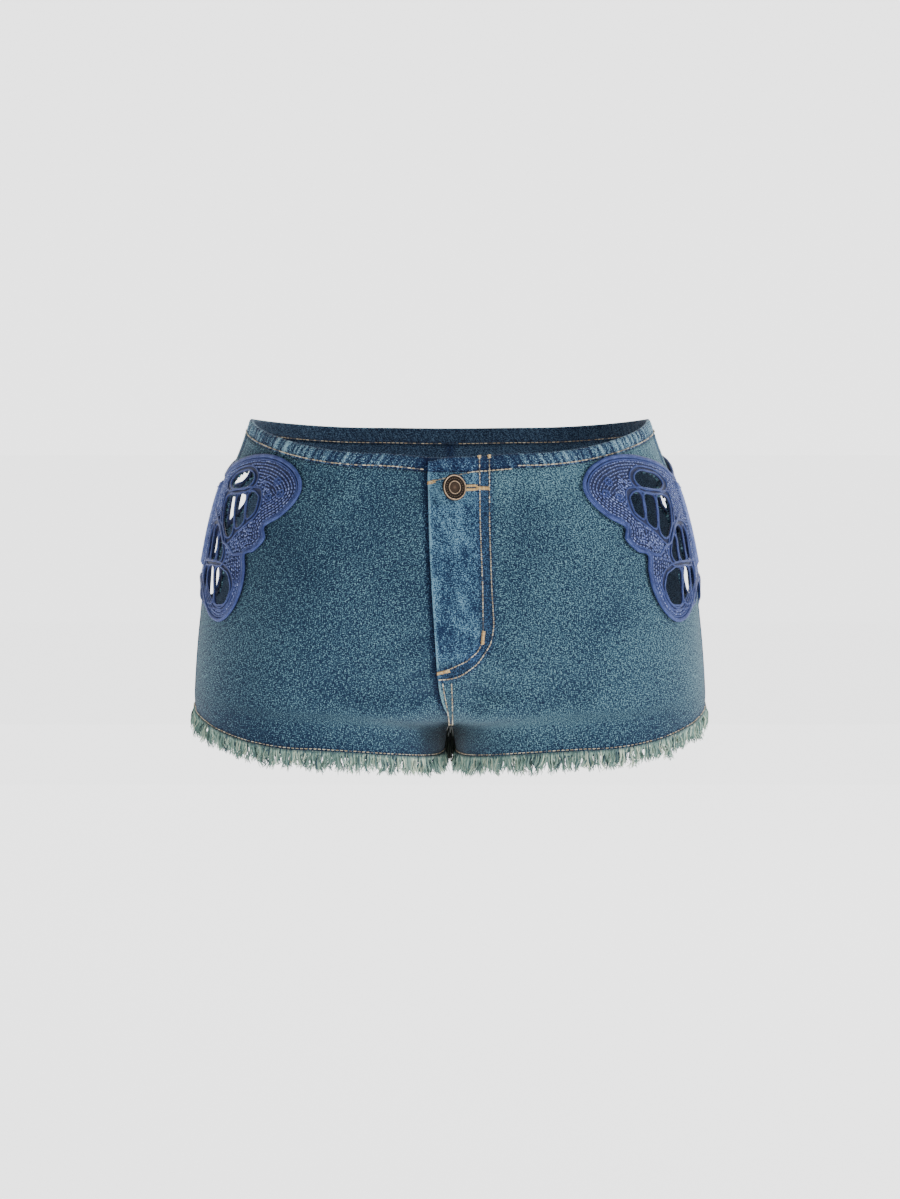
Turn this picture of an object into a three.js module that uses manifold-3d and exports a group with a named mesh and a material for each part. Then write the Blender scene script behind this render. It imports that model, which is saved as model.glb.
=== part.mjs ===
// Low-rise denim hot shorts, filled out as if worn, with an open-work butterfly sewn over each side seam.
// Millimetres, +Z up, the front faces -Y and the wearer's left is +X. The origin is the centre of the
// waist opening, where a wearer's waist holds the shorts up.
//
// The cloth is one smooth shell S(u, v): v runs from the waist edge (0) to the hem (1) and on to the
// foot of the fringe, and u is the distance round the body from the side seam, positive to the front.
// Every panel, band, trim and fringe is a stretch of that shell with its own thickness.
import * as THREE from "three";
import { TessellateModifier } from "three/addons/modifiers/TessellateModifier.js";
import { mergeVertices } from "three/addons/utils/BufferGeometryUtils.js";
import Module from "manifold-3d";

// ---- driving sizes ----
const CLOTH = 1.2; // denim
const CASING = 2.4; // the waist edge turned in on itself, with its elastic
const SEAM_GAP = 0.3;
const TOP_Z = 12; // highest point of the waist edge, at the sides
const SEAM_FORWARD = 16; // the side seam lies this far in front of the widest point
const V_CASING = 0.06; // foot of the waist casing
const V_CROTCH = 0.93; // the four panels meet here
const V_HEM = 1;
const V_FRINGE = 1.06;
const LEG_GAP = 4.5; // from the middle to the inside of each leg

// ---- the shell's sections, one row for each level ----
// x and z of the widest point
const SIDE = [
  { v: 0, x: 138, z: TOP_Z },
  { v: 0.06, x: 141.5, z: 2 },
  { v: 0.22, x: 159.5, z: -43 },
  { v: 0.45, x: 170.5, z: -93 },
  { v: 0.65, x: 175.5, z: -133 },
  { v: 0.78, x: 177.5, z: -156 },
  { v: 0.88, x: 178.5, z: -172 },
  { v: 0.93, x: 178.8, z: -180 },
  { v: 1, x: 178.5, z: -188.5 },
  { v: 1.06, x: 180, z: -200 },
];
// ax, ay, az: the apex, where the section faces straight ahead. y, z: the centre seam, then the inseam.
// turn: how far the section has turned into the fork where it reaches that seam, in degrees.
// corner: how sharply the level line turns down at the widest point, from 0 (smooth) to 1 (sharp).
const FRONT = [
  { v: 0, ax: 50, ay: -91, az: -9.8, y: -95, z: -12.6, turn: 0, corner: 0.5 },
  { v: 0.06, ax: 51, ay: -93.5, az: -19.8, y: -97, z: -22.8, turn: 0, corner: 0.5 },
  { v: 0.22, ax: 58, ay: -101, az: -64, y: -103, z: -66, turn: 0, corner: 0.7 },
  { v: 0.45, ax: 68, ay: -106, az: -105, y: -106, z: -108, turn: 0, corner: 0.45 },
  { v: 0.65, ax: 80, ay: -105, az: -141, y: -102, z: -145, turn: 2, corner: 0.4 },
  { v: 0.78, ax: 88, ay: -102, az: -164, y: -91, z: -171, turn: 14, corner: 0.45 },
  { v: 0.88, ax: 91, ay: -99.5, az: -182, y: -64, z: -192, turn: 48, corner: 0.5 },
  { v: 0.93, ax: 92, ay: -98, az: -192, y: 2, z: -203, turn: 80, corner: 0.6 },
  { v: 1, ax: 92, ay: -96, az: -213, y: 4, z: -224, turn: 90, corner: 0.65 },
  { v: 1.06, ax: 92, ay: -97, az: -224.5, y: 4, z: -235.5, turn: 90, corner: 0.65 },
];
const BACK = [
  { v: 0, ax: 52, ay: 89, az: 4.5, y: 93, z: 4, turn: 0, corner: 0.35 },
  { v: 0.06, ax: 54, ay: 93, az: -6.5, y: 97, z: -7.5, turn: 0, corner: 0.35 },
  { v: 0.22, ax: 62, ay: 111, az: -48, y: 111, z: -50, turn: 0, corner: 0.3 },
  { v: 0.45, ax: 72, ay: 122, az: -94, y: 119, z: -98, turn: 2, corner: 0.3 },
  { v: 0.65, ax: 80, ay: 120, az: -135, y: 113, z: -140, turn: 8, corner: 0.3 },
  { v: 0.78, ax: 86, ay: 114, az: -160, y: 96, z: -169, turn: 22, corner: 0.35 },
  { v: 0.88, ax: 90, ay: 108, az: -180, y: 60, z: -191, turn: 52, corner: 0.45 },
  { v: 0.93, ax: 91, ay: 104, az: -192, y: 2, z: -203, turn: 80, corner: 0.55 },
  { v: 1, ax: 92, ay: 100, az: -213, y: 4, z: -224, turn: 90, corner: 0.6 },
  { v: 1.06, ax: 92, ay: 101, az: -224.5, y: 4, z: -235.5, turn: 90, corner: 0.6 },
];

// The fly: how far the left front laps over the right one, and the right one's underlap beneath it.
const FLY = [
  { v: 0, lap: 15, under: 15 },
  { v: 0.3, lap: 13, under: 15 },
  { v: 0.62, lap: 9.5, under: 14 },
  { v: 0.74, lap: 8, under: 5 },
  { v: 0.82, lap: 5.5, under: 3 },
  { v: 0.87, lap: 0, under: 0 },
  { v: 0.9, lap: 0, under: 0 },
  { v: 1, lap: 0, under: 0 },
];
const LAP_LIFT = CLOTH + 0.6; // the lap rides on the underlap
const LAP_RAMP = 9;
const V_LAP_END = 0.89;

// ---- the shell ----
const HANDLE = 0.5523; // Bezier handle of a quarter round
const FORK_HANDLE = 0.7; // fuller, for the inside of the thigh
const ROWS = 240;
const SAMPLES = 72;

// A smooth curve through one column of a table, read at v.
function read(table, name, v) {
  let k = table.findIndex((row) => row.v > v) - 1;
  if (k < 0) k = table.length - 2;
  const slope = (i) => {
    const a = table[Math.max(0, i - 1)];
    const b = table[Math.min(table.length - 1, i + 1)];
    return (b[name] - a[name]) / (b.v - a.v);
  };
  const [a, b] = [table[k], table[k + 1]];
  const span = b.v - a.v;
  const t = (v - a.v) / span;
  const [t2, t3] = [t * t, t * t * t];
  return (
    (2 * t3 - 3 * t2 + 1) * a[name] +
    (t3 - 2 * t2 + t) * span * slope(k) +
    (3 * t2 - 2 * t3) * b[name] +
    (t3 - t2) * span * slope(k + 1)
  );
}

// Where a section ends: on the centre seam above the crotch, and on the inseam below it.
function seamEnd(table, v) {
  if (v <= V_CROTCH) return { x: 0, y: read(table, "y", v), z: read(table, "z", v) };
  const legs = table.filter((row) => row.v >= V_CROTCH);
  const opened = Math.min(1, (v - V_CROTCH) / (V_HEM - V_CROTCH));
  return { x: LEG_GAP * Math.sqrt(opened), y: read(legs, "y", v), z: read(legs, "z", v) };
}

// Half a section, from the widest point to the centre seam or inseam, as points with their distances.
function halfSection(table, v) {
  const side = { x: read(SIDE, "x", v), z: read(SIDE, "z", v) };
  const corner = read(table, "corner", v);
  const apex = new THREE.Vector3(read(table, "ax", v), read(table, "ay", v), read(table, "az", v));
  const at = seamEnd(table, v);
  const end = new THREE.Vector3(at.x, at.y, at.z);
  const turn = THREE.MathUtils.degToRad(read(table, "turn", v));
  const ahead = Math.sign(apex.y);
  const widest = new THREE.Vector3(side.x, 0, side.z);
  const fromSide = new THREE.CubicBezierCurve3(
    widest,
    new THREE.Vector3(side.x, HANDLE * apex.y, side.z + corner * HANDLE * (apex.z - side.z)),
    new THREE.Vector3(apex.x + HANDLE * (side.x - apex.x), apex.y, apex.z),
    apex,
  );
  const across = apex.x - end.x;
  const inward = Math.abs(apex.y - end.y);
  const reach = HANDLE * across * Math.cos(turn) + FORK_HANDLE * inward * Math.sin(turn);
  const fork = Math.sin(turn);
  const handle = HANDLE + (FORK_HANDLE - HANDLE) * fork;
  const toSeam = new THREE.CubicBezierCurve3(
    apex,
    new THREE.Vector3(apex.x - handle * across, apex.y, apex.z + (end.z - apex.z) * 0.3),
    new THREE.Vector3(end.x + reach * Math.cos(turn), end.y + ahead * reach * Math.sin(turn), end.z),
    end,
  );
  const points = [...fromSide.getPoints(SAMPLES), ...toSeam.getPoints(SAMPLES).slice(1)];
  const far = [0];
  for (let i = 1; i < points.length; i++) far.push(far[i - 1] + points[i].distanceTo(points[i - 1]));
  return { points, far, length: far.at(-1) };
}

const sections = Array.from({ length: ROWS + 1 }, (_, k) => {
  const v = (k / ROWS) * V_FRINGE;
  return { v, front: halfSection(FRONT, v), back: halfSection(BACK, v) };
});

function along(half, distance) {
  let [low, high] = [0, half.far.length - 1];
  while (high - low > 1) {
    const middle = (low + high) >> 1;
    if (half.far[middle] <= distance) low = middle;
    else high = middle;
  }
  const t = (distance - half.far[low]) / (half.far[high] - half.far[low]);
  return half.points[low].clone().lerp(half.points[high], t);
}

// The point of one section at u. Past a centre seam it runs on round the other half of the garment, and
// past an inseam it runs on round the same leg.
function onSection(section, u) {
  let [half, other, distance] = [section.front, section.back, u + SEAM_FORWARD];
  if (distance < 0) [half, other, distance] = [section.back, section.front, -distance];
  if (distance <= half.length) return along(half, distance);
  const past = distance - half.length;
  if (section.v > V_CROTCH) return along(other, Math.max(0, other.length - past));
  const p = past < half.length ? along(half, half.length - past) : along(other, past - half.length);
  return p.setX(-p.x);
}

function shell(u, v) {
  const k = THREE.MathUtils.clamp((v / V_FRINGE) * ROWS, 0, ROWS);
  const low = Math.min(ROWS - 1, Math.floor(k));
  return onSection(sections[low], u).lerp(onSection(sections[low + 1], u), k - low);
}

function outward(u, v) {
  const [du, dv] = [1.5, 0.006];
  const round = shell(u + du, v).sub(shell(u - du, v));
  const down = shell(u, Math.min(V_FRINGE, v + dv)).sub(shell(u, Math.max(0, v - dv)));
  return round.cross(down).normalize();
}

// Distance u of the centre seam or inseam, at the front (1) or the back (-1).
function seamAt(v, face) {
  const k = THREE.MathUtils.clamp((v / V_FRINGE) * ROWS, 0, ROWS);
  const low = Math.min(ROWS - 1, Math.floor(k));
  const length = (s) => (face > 0 ? s.front.length : s.back.length);
  const mixed = THREE.MathUtils.lerp(length(sections[low]), length(sections[low + 1]), k - low);
  return face * mixed - SEAM_FORWARD;
}

const lifted = (u, v, height) => shell(u, v).addScaledVector(outward(u, v), height);

// v of the place that lies `drop` below the top of the waist edge, at u.
function levelAt(u, drop) {
  let [low, high] = [0, V_HEM];
  for (let i = 0; i < 18; i++) {
    const middle = (low + high) / 2;
    if (shell(u, middle).z > TOP_Z - drop) low = middle;
    else high = middle;
  }
  return (low + high) / 2;
}

// ---- walls of cloth ----
// A closed wall over a grid of the shell. side is 1 for the wearer's left and -1 for the right, where
// x is mirrored. from and to give u at each v; outer and inner give the heights of the two faces.
// gather above 1 draws the columns together towards the `to` edge.
function wall({ side, from, to, top, foot, across, down, outer, inner, gather = 1 }) {
  const rows = [];
  for (const height of [outer, inner]) {
    for (let j = 0; j <= down; j++) {
      const v = top + ((foot - top) * j) / down;
      for (let i = 0; i <= across; i++) {
        const u = to(v) - (to(v) - from(v)) * (1 - i / across) ** gather;
        const p = lifted(u, v, height(u, v));
        rows.push(side * p.x, p.y, p.z);
      }
    }
  }
  const faces = [];
  const layer = (across + 1) * (down + 1);
  const quad = (a, b, c, d) => faces.push(...(side > 0 ? [a, c, b, a, d, c] : [a, b, c, a, c, d]));
  const id = (i, j, inside) => inside * layer + j * (across + 1) + i;
  for (let j = 0; j < down; j++) {
    for (let i = 0; i < across; i++) {
      quad(id(i, j, 0), id(i, j + 1, 0), id(i + 1, j + 1, 0), id(i + 1, j, 0));
      quad(id(i, j, 1), id(i + 1, j, 1), id(i + 1, j + 1, 1), id(i, j + 1, 1));
    }
    quad(id(0, j, 0), id(0, j, 1), id(0, j + 1, 1), id(0, j + 1, 0));
    quad(id(across, j, 0), id(across, j + 1, 0), id(across, j + 1, 1), id(across, j, 1));
  }
  for (let i = 0; i < across; i++) {
    quad(id(i, 0, 0), id(i + 1, 0, 0), id(i + 1, 0, 1), id(i, 0, 1));
    quad(id(i, down, 0), id(i, down, 1), id(i + 1, down, 1), id(i + 1, down, 0));
  }
  const geometry = new THREE.BufferGeometry();
  geometry.setAttribute("position", new THREE.Float32BufferAttribute(rows, 3));
  geometry.setIndex(faces);
  return geometry;
}

// ---- joins and cuts ----
const wasm = await Module();
wasm.setup();

function toSolid(geometry) {
  const bare = geometry.clone();
  bare.deleteAttribute("normal");
  bare.deleteAttribute("uv");
  const merged = mergeVertices(bare, 1e-3);
  return new wasm.Manifold(
    new wasm.Mesh({
      numProp: 3,
      vertProperties: merged.attributes.position.array,
      triVerts: new Uint32Array(merged.index.array),
    }),
  );
}

function toGeometry(solid) {
  const mesh = solid.getMesh();
  const geometry = new THREE.BufferGeometry();
  geometry.setAttribute("position", new THREE.Float32BufferAttribute(mesh.vertProperties, 3));
  geometry.setIndex([...mesh.triVerts]);
  return geometry;
}

const cut = (geometry, cutters) =>
  toGeometry(cutters.reduce((solid, c) => solid.subtract(toSolid(c)), toSolid(geometry)));

// ---- the butterfly's flat pattern ----
// [distance round from the side seam, drop below the waist edge], for the half on the front.
const WING_OUTLINE = [
  [0, 40], [14, 34], [30, 29], [52, 25], [72, 26], [89, 33], [99, 44], [99, 55], [92, 65], [82, 72],
  [85, 80], [79, 88], [71, 91], [74, 102], [74, 115], [68, 128], [57, 136], [44, 135], [31, 127],
  [18, 116], [8, 112], [0, 109],
];
// The open cells, each a drop-shaped leaf from its narrow end to its broad end: [u, drop, u, drop, width].
const WING_CELLS = [
  [27, 44, 56, 42, 14], [29, 54, 47, 79, 15], [51, 54, 57, 71, 7.5], [62, 51, 66.5, 65, 6.5],
  [16, 76, 20, 94, 6], [27, 76, 33, 95, 7], [38, 80, 45, 96, 7],
  [17, 102, 24, 118, 6.5], [29, 103, 38, 122, 8.5], [43, 103, 57, 122, 12.5],
];
// Where the denim is cut away behind the open cells
const DENIM_OPENINGS = [
  [[23, 44], [32, 37], [48, 34], [57, 37], [60, 43], [52, 48.5], [34, 49]],
  [[26, 53], [34, 51.5], [62, 48], [69.5, 52], [71, 63], [65, 69], [57.5, 75], [50, 82.5], [45, 82], [34, 71]],
  [[12, 77], [17, 72], [29, 72], [39, 78], [48, 91], [46, 98], [32, 98], [17, 97]],
  [[13, 101.5], [20, 99.5], [44, 99.5], [58, 104], [64, 114], [60, 126], [48, 127], [30, 126], [19, 120]],
];
const TRIM = { lift: 0.8, thick: 1.2, edge: 21, splits: 24, leafPoints: 7, belly: 0.3 };
const PLUG = { thick: 8, edge: 40 }; // what cuts the denim
// The right butterfly is sewn on further back than the left one, and slants a little: the shift round
// the body at `level` below the waist edge, and its change for each mm below that.
const ASKEW = { shift: -8, slant: 0.08, level: 80 };
const askew = (side, drop) => (side > 0 ? 0 : ASKEW.shift + ASKEW.slant * (drop - ASKEW.level));

// The edge of one open cell, on the front half (1) or the back half (-1) of the butterfly.
function leaf([u0, drop0, u1, drop1, width], face) {
  const axis = new THREE.Vector2(u1 - u0, drop1 - drop0);
  const across = new THREE.Vector2(-axis.y, axis.x).setLength(width / 2);
  return Array.from({ length: TRIM.leafPoints }, (_, k) => {
    const angle = (2 * Math.PI * (k + 0.5)) / TRIM.leafPoints;
    const far = (1 - Math.cos(angle)) / 2;
    const wide = Math.sin(angle) * (1 - TRIM.belly * Math.cos(angle));
    return [face * (u0 + far * axis.x + wide * across.x), drop0 + far * axis.y + wide * across.y];
  });
}

// A closed outline of [u, drop] points as a flat anticlockwise path. Each place is rounded to a fraction
// that halves exactly, so that split edges still meet.
function loop(points) {
  const exact = (n) => Math.round(n * 64) / 64;
  const path = points.map(([u, drop]) => new THREE.Vector2(exact(u), -exact(drop)));
  return THREE.ShapeUtils.isClockWise(path) ? path.reverse() : path;
}

// A flat shape laid on the shell: its thickness runs from lift to lift + thick above the denim's face.
function laidOn(shape, side, lift, thick, edge = TRIM.edge) {
  const extruded = new THREE.ExtrudeGeometry(shape, { depth: 1, bevelEnabled: false, curveSegments: 1 });
  extruded.deleteAttribute("uv");
  extruded.deleteAttribute("normal");
  const fine = mergeVertices(new TessellateModifier(edge, TRIM.splits).modify(extruded), 1e-3);
  const position = fine.attributes.position;
  for (let i = 0; i < position.count; i++) {
    const drop = -position.getY(i);
    const u = position.getX(i) + askew(side, drop);
    const p = lifted(u, levelAt(u, drop), lift + thick * position.getZ(i));
    position.setXYZ(i, side * p.x, p.y, p.z);
  }
  // the pattern is seen from inside on the left, so its faces are turned round to face out again
  if (side > 0) fine.setIndex([...fine.index.array].reverse());
  return fine;
}

function butterfly(side) {
  const back = WING_OUTLINE.slice(1, -1).map(([u, drop]) => [-u, drop]).reverse();
  const shape = new THREE.Shape(loop([...WING_OUTLINE, ...back]));
  for (const cell of WING_CELLS) {
    for (const face of [1, -1]) shape.holes.push(new THREE.Path(loop(leaf(cell, face))));
  }
  return laidOn(shape, side, TRIM.lift, TRIM.thick);
}

// Plugs of the denim that is cut away under one wing, on the front (1) or the back (-1).
function openingPlugs(side, face) {
  return DENIM_OPENINGS.map((outline) => {
    const shape = new THREE.Shape(loop(outline.map(([u, drop]) => [face * u, drop])));
    return laidOn(shape, side, -PLUG.thick / 2, PLUG.thick, PLUG.edge);
  });
}

// ---- the button ----
const BUTTON = {
  x: 2, z: -33.3, radius: 8.9, cap: 2, tilt: 28, neck: 2.4, bore: 1.2, nail: 0.9, tack: 4.5, tackThick: 0.8,
  stand: 6.8, // the cap's middle above the underlap
};
const HOLE = { eye: 3, from: 0.2, length: 16, slit: 0.5 }; // the keyhole buttonhole

// The frame that stands on the shell at the button: x to the wearer's left, y up and z outward.
function buttonFrame() {
  const v = levelAt(seamAt(0.2, 1), TOP_Z - BUTTON.z);
  const u = seamAt(v, 1) - BUTTON.x;
  const z = outward(u, v);
  const x = new THREE.Vector3(1, 0, 0).addScaledVector(z, -z.x).normalize();
  const y = new THREE.Vector3().crossVectors(z, x);
  return new THREE.Matrix4().makeBasis(x, y, z).setPosition(shell(u, v));
}

// A turned shape: [radius, height] pairs, from the axis round to the axis again, turned about z.
const turned = (profile, segments) =>
  new THREE.LatheGeometry(profile.map(([r, h]) => new THREE.Vector2(r, h)), segments).rotateX(Math.PI / 2);

function buttonCap() {
  const { radius, cap, stand } = BUTTON;
  return turned(
    [
      [0, stand - 0.2], [3, stand - 0.2], [radius - 0.6, stand], [radius, stand + 0.6],
      [radius - 0.3, stand + cap - 0.3], [radius - 0.9, stand + cap], [radius - 1.6, stand + cap - 0.2],
      [radius - 2.1, stand + cap - 0.7], [4.2, stand + cap - 0.7], [3.7, stand + cap - 0.3],
      [3.1, stand + cap - 0.3], [2.7, stand + cap - 0.7], [0, stand + cap - 0.5],
    ],
    28,
  );
}

// The cap leans over on its neck, and the neck is bored for the tack's nail.
function buttonGeometry(frame) {
  const { neck, bore, stand, tilt } = BUTTON;
  const pivot = stand - 1;
  const cap = buttonCap()
    .translate(0, 0, -pivot)
    .rotateY(THREE.MathUtils.degToRad(tilt))
    .translate(0, 0, pivot);
  const post = turned([[0, SEAM_GAP], [neck, SEAM_GAP], [neck, stand + 0.4], [0, stand + 0.4]], 20);
  const hole = turned([[0, -1], [bore, -1], [bore, stand - 2], [0, stand - 2]], 16);
  const solid = toSolid(cap).add(toSolid(post)).subtract(toSolid(hole));
  return toGeometry(solid).applyMatrix4(frame);
}

function tackGeometry(frame) {
  const { nail, tack, tackThick, stand } = BUTTON;
  const under = -CLOTH - SEAM_GAP;
  const profile = [
    [0, under - tackThick], [tack - 0.4, under - tackThick], [tack, under - tackThick / 2], [tack - 0.2, under],
    [nail, under], [nail, stand - 2.6], [0, stand - 2.3],
  ];
  return turned(profile, 20).applyMatrix4(frame);
}

// A round eye behind the button, with a slit that runs from it towards the side.
function buttonholePlug(frame) {
  const { eye, from, length, slit } = HOLE;
  const corner = Math.asin(slit / eye);
  const shape = new THREE.Shape();
  shape.absarc(from, 0, eye, corner, 2 * Math.PI - corner, false);
  shape.lineTo(from + length, -slit);
  shape.lineTo(from + length, slit);
  shape.closePath();
  return new THREE.ExtrudeGeometry(shape, { depth: PLUG.thick, bevelEnabled: false, curveSegments: 10 })
    .translate(0, 0, -CLOTH / 2 + 0.7)
    .applyMatrix4(frame);
}

function nailHolePlug(frame) {
  return turned([[0, -3], [BUTTON.bore, -3], [BUTTON.bore, 0.6], [0, 0.6]], 16).applyMatrix4(frame);
}

// ---- the pieces ----
const PANEL = { across: 14, down: 16 };
const BAND = { across: 22, down: 1 };
const level = (height) => () => height;
const sideEdge = (face) => () => (face * SEAM_GAP) / 2;
const centreEdge = (face) => (v) => seamAt(v, face) - (face * SEAM_GAP) / 2;
const lap = (v) => read(FLY, "lap", Math.min(v, 0.999));
const under = (v) => read(FLY, "under", Math.min(v, 0.999));
const PANEL_TOP = V_CASING + 0.001;
const PANEL_FOOT = V_HEM - 0.001;
const CASING_FOOT = V_CASING - 0.0005;

// How far the left front stands off the shell: all of the lift over the underlap, then a ramp.
function lapLift(u, v) {
  const fromCentre = seamAt(v, 1) - u;
  const clear = under(v) + 3;
  const fade = 1 - THREE.MathUtils.smoothstep(v, V_LAP_END, V_CROTCH);
  return LAP_LIFT * fade * (1 - THREE.MathUtils.smoothstep(fromCentre, clear, clear + LAP_RAMP));
}

// The right casing sinks under the left one, which is two cloths thick.
function underSink(u, v) {
  const fromCentre = u - seamAt(v, 1) + lap(v);
  return -CLOTH * THREE.MathUtils.smoothstep(fromCentre, -LAP_RAMP, 0);
}

const frontPanel = (side) => {
  const left = side > 0;
  return wall({
    side, top: PANEL_TOP, foot: PANEL_FOOT, ...PANEL, gather: 1.25,
    from: sideEdge(1),
    to: left ? (v) => centreEdge(1)(v) + lap(v) : (v) => centreEdge(1)(v) + under(v),
    outer: left ? lapLift : level(0),
    inner: left ? (u, v) => lapLift(u, v) - CLOTH : level(-CLOTH),
  });
};

const backPanel = (side) =>
  wall({
    side, top: PANEL_TOP, foot: PANEL_FOOT, ...PANEL,
    from: centreEdge(-1),
    to: sideEdge(-1),
    outer: level(0),
    inner: level(-CLOTH),
  });

const frontCasing = (side) => {
  const left = side > 0;
  const shift = left ? lapLift : underSink;
  return wall({
    side, top: 0, foot: CASING_FOOT, ...BAND,
    from: sideEdge(1),
    to: left ? (v) => centreEdge(1)(v) + lap(v) : (v) => centreEdge(1)(v) + under(v),
    outer: shift,
    inner: (u, v) => shift(u, v) - CASING,
  });
};

const backCasing = () =>
  wall({
    side: 1, top: 0, foot: CASING_FOOT, across: 42, down: 1,
    from: (v) => 2 * seamAt(v, -1) + SEAM_GAP / 2,
    to: sideEdge(-1),
    outer: level(0),
    inner: level(-CASING),
  });

// The frayed edge: a ring round each leg, closed at the inseam.
const FRINGE = { across: 44, outer: 0.7, inner: -1.5, top: V_HEM + 0.0088, foot: V_FRINGE - 0.001 };
function fringe(side) {
  const rows = [];
  const faces = [];
  const { across, outer, inner, top, foot } = FRINGE;
  const corners = [[top, outer], [foot, outer], [foot, inner], [top, inner]];
  for (let i = 0; i < across; i++) {
    for (const [v, height] of corners) {
      const [back, front] = [seamAt(v, -1), seamAt(v, 1)];
      const p = lifted(back + ((front - back) * i) / across, v, height);
      rows.push(side * p.x, p.y, p.z);
    }
  }
  for (let i = 0; i < across; i++) {
    for (let k = 0; k < 4; k++) {
      const [a, b] = [i * 4 + k, i * 4 + ((k + 1) % 4)];
      const [c, d] = [((i + 1) % across) * 4 + ((k + 1) % 4), ((i + 1) % across) * 4 + k];
      faces.push(...(side > 0 ? [a, c, b, a, d, c] : [a, b, c, a, c, d]));
    }
  }
  const geometry = new THREE.BufferGeometry();
  geometry.setAttribute("position", new THREE.Float32BufferAttribute(rows, 3));
  geometry.setIndex(faces);
  return geometry;
}

// ---- the object ----
const denim = new THREE.MeshStandardMaterial({ color: 0x3f6176, roughness: 0.92, metalness: 0 });
const casingDenim = new THREE.MeshStandardMaterial({ color: 0x425e7a, roughness: 0.92, metalness: 0 });
const embroidery = new THREE.MeshStandardMaterial({ color: 0x47598c, roughness: 0.7, metalness: 0 });
const frayed = new THREE.MeshStandardMaterial({ color: 0x7f9c9a, roughness: 0.95, metalness: 0 });
const brass = new THREE.MeshStandardMaterial({ color: 0x7a6650, roughness: 0.4, metalness: 0.9 });

const shorts = new THREE.Group();
function add(name, geometry, material) {
  const mesh = new THREE.Mesh(geometry, material);
  mesh.name = name;
  shorts.add(mesh);
}

const button = buttonFrame();
for (const [name, side] of [["left", 1], ["right", -1]]) {
  const flyPlug = side > 0 ? buttonholePlug(button) : nailHolePlug(button);
  add(`front_${name}`, cut(frontPanel(side), [...openingPlugs(side, 1), flyPlug]), denim);
  add(`back_${name}`, cut(backPanel(side), openingPlugs(side, -1)), denim);
  add(`waist_casing_front_${name}`, frontCasing(side), casingDenim);
  add(`butterfly_${name}`, butterfly(side), embroidery);
  add(`fringe_${name}`, fringe(side), frayed);
}
add("waist_casing_back", backCasing(), casingDenim);
add("button", buttonGeometry(button), brass);
add("button_tack", tackGeometry(button), brass);

export default shorts;
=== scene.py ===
"""Denim hot shorts with an open-work butterfly over each side seam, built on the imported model."""

import math

import bpy
import numpy as np
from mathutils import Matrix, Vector
from mathutils.geometry import delaunay_2d_cdt


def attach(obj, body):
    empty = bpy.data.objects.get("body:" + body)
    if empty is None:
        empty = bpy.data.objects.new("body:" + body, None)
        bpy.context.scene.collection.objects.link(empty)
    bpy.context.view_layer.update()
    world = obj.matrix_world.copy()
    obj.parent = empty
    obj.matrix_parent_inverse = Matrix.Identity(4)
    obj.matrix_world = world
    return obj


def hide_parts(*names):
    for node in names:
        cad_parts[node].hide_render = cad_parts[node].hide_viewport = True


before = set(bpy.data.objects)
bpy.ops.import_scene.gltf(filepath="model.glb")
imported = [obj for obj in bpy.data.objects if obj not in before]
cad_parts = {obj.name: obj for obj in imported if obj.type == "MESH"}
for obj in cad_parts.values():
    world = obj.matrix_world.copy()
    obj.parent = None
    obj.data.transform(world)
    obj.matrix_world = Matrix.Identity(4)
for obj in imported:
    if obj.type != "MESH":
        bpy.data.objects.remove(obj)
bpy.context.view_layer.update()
MM = 0.001

# ---- The view ----
# A pale studio sweep with a large soft light to the viewer's right and a weak one to the left, seen
# level with the hips through a long lens.
DISTANCE = 2.2
ELEVATION = math.radians(4)
AIM = Vector((0, 0, -0.1145))
FIELD = 0.63

lens = bpy.data.cameras.new("view")
lens.sensor_fit = "HORIZONTAL"
lens.lens = lens.sensor_width * DISTANCE / FIELD
camera = bpy.data.objects.new("view", lens)
camera.location = AIM + Vector((0, -math.cos(ELEVATION), math.sin(ELEVATION))) * DISTANCE
camera.rotation_euler = (math.pi / 2 - ELEVATION, 0, 0)
bpy.context.scene.collection.objects.link(camera)
bpy.context.scene.camera = camera


def soft_light(name, place, watts, size):
    lamp = bpy.data.lights.new(name, "AREA")
    lamp.energy = watts
    lamp.size = size
    holder = bpy.data.objects.new(name, lamp)
    holder.location = place
    aim = Vector((0, 0, -0.1)) - Vector(place)
    holder.rotation_euler = aim.to_track_quat("-Z", "Y").to_euler()
    bpy.context.scene.collection.objects.link(holder)


soft_light("key", (1.9, -1.3, 0.8), 50, 0.6)
soft_light("fill", (-1.1, -2.1, 0.5), 12, 0.8)
soft_light("back_light", (0.9, 1.8, 1.2), 26, 0.9)

world = bpy.data.worlds.new("studio")
world.use_nodes = True
sky = world.node_tree.nodes["Background"].inputs
sky["Color"].default_value = (0.86, 0.9, 0.95, 1)
sky["Strength"].default_value = 0.3
bpy.context.scene.world = world

SWEEP = [(-8, -0.62), (2.9, -0.62), (3.25, -0.56), (3.5, -0.4), (3.6, -0.1), (3.6, 5.5)]
sweep_mesh = bpy.data.meshes.new("sweep")
sweep_mesh.from_pydata(
    [(x, y, z) for y, z in SWEEP for x in (-9, 9)],
    [],
    [(2 * k, 2 * k + 1, 2 * k + 3, 2 * k + 2) for k in range(len(SWEEP) - 1)],
)
sweep = bpy.data.objects.new("sweep", sweep_mesh)
bpy.context.scene.collection.objects.link(sweep)
paper = bpy.data.materials.new("paper")
paper.use_nodes = True
for socket, value in (
    ("Base Color", (0.5, 0.5, 0.5, 1)),
    ("Roughness", 0.9),
    ("Emission Color", (1, 1, 1, 1)),
    ("Emission Strength", 2.1),
):
    paper.node_tree.nodes["Principled BSDF"].inputs[socket].default_value = value
sweep_mesh.materials.append(paper)

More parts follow.
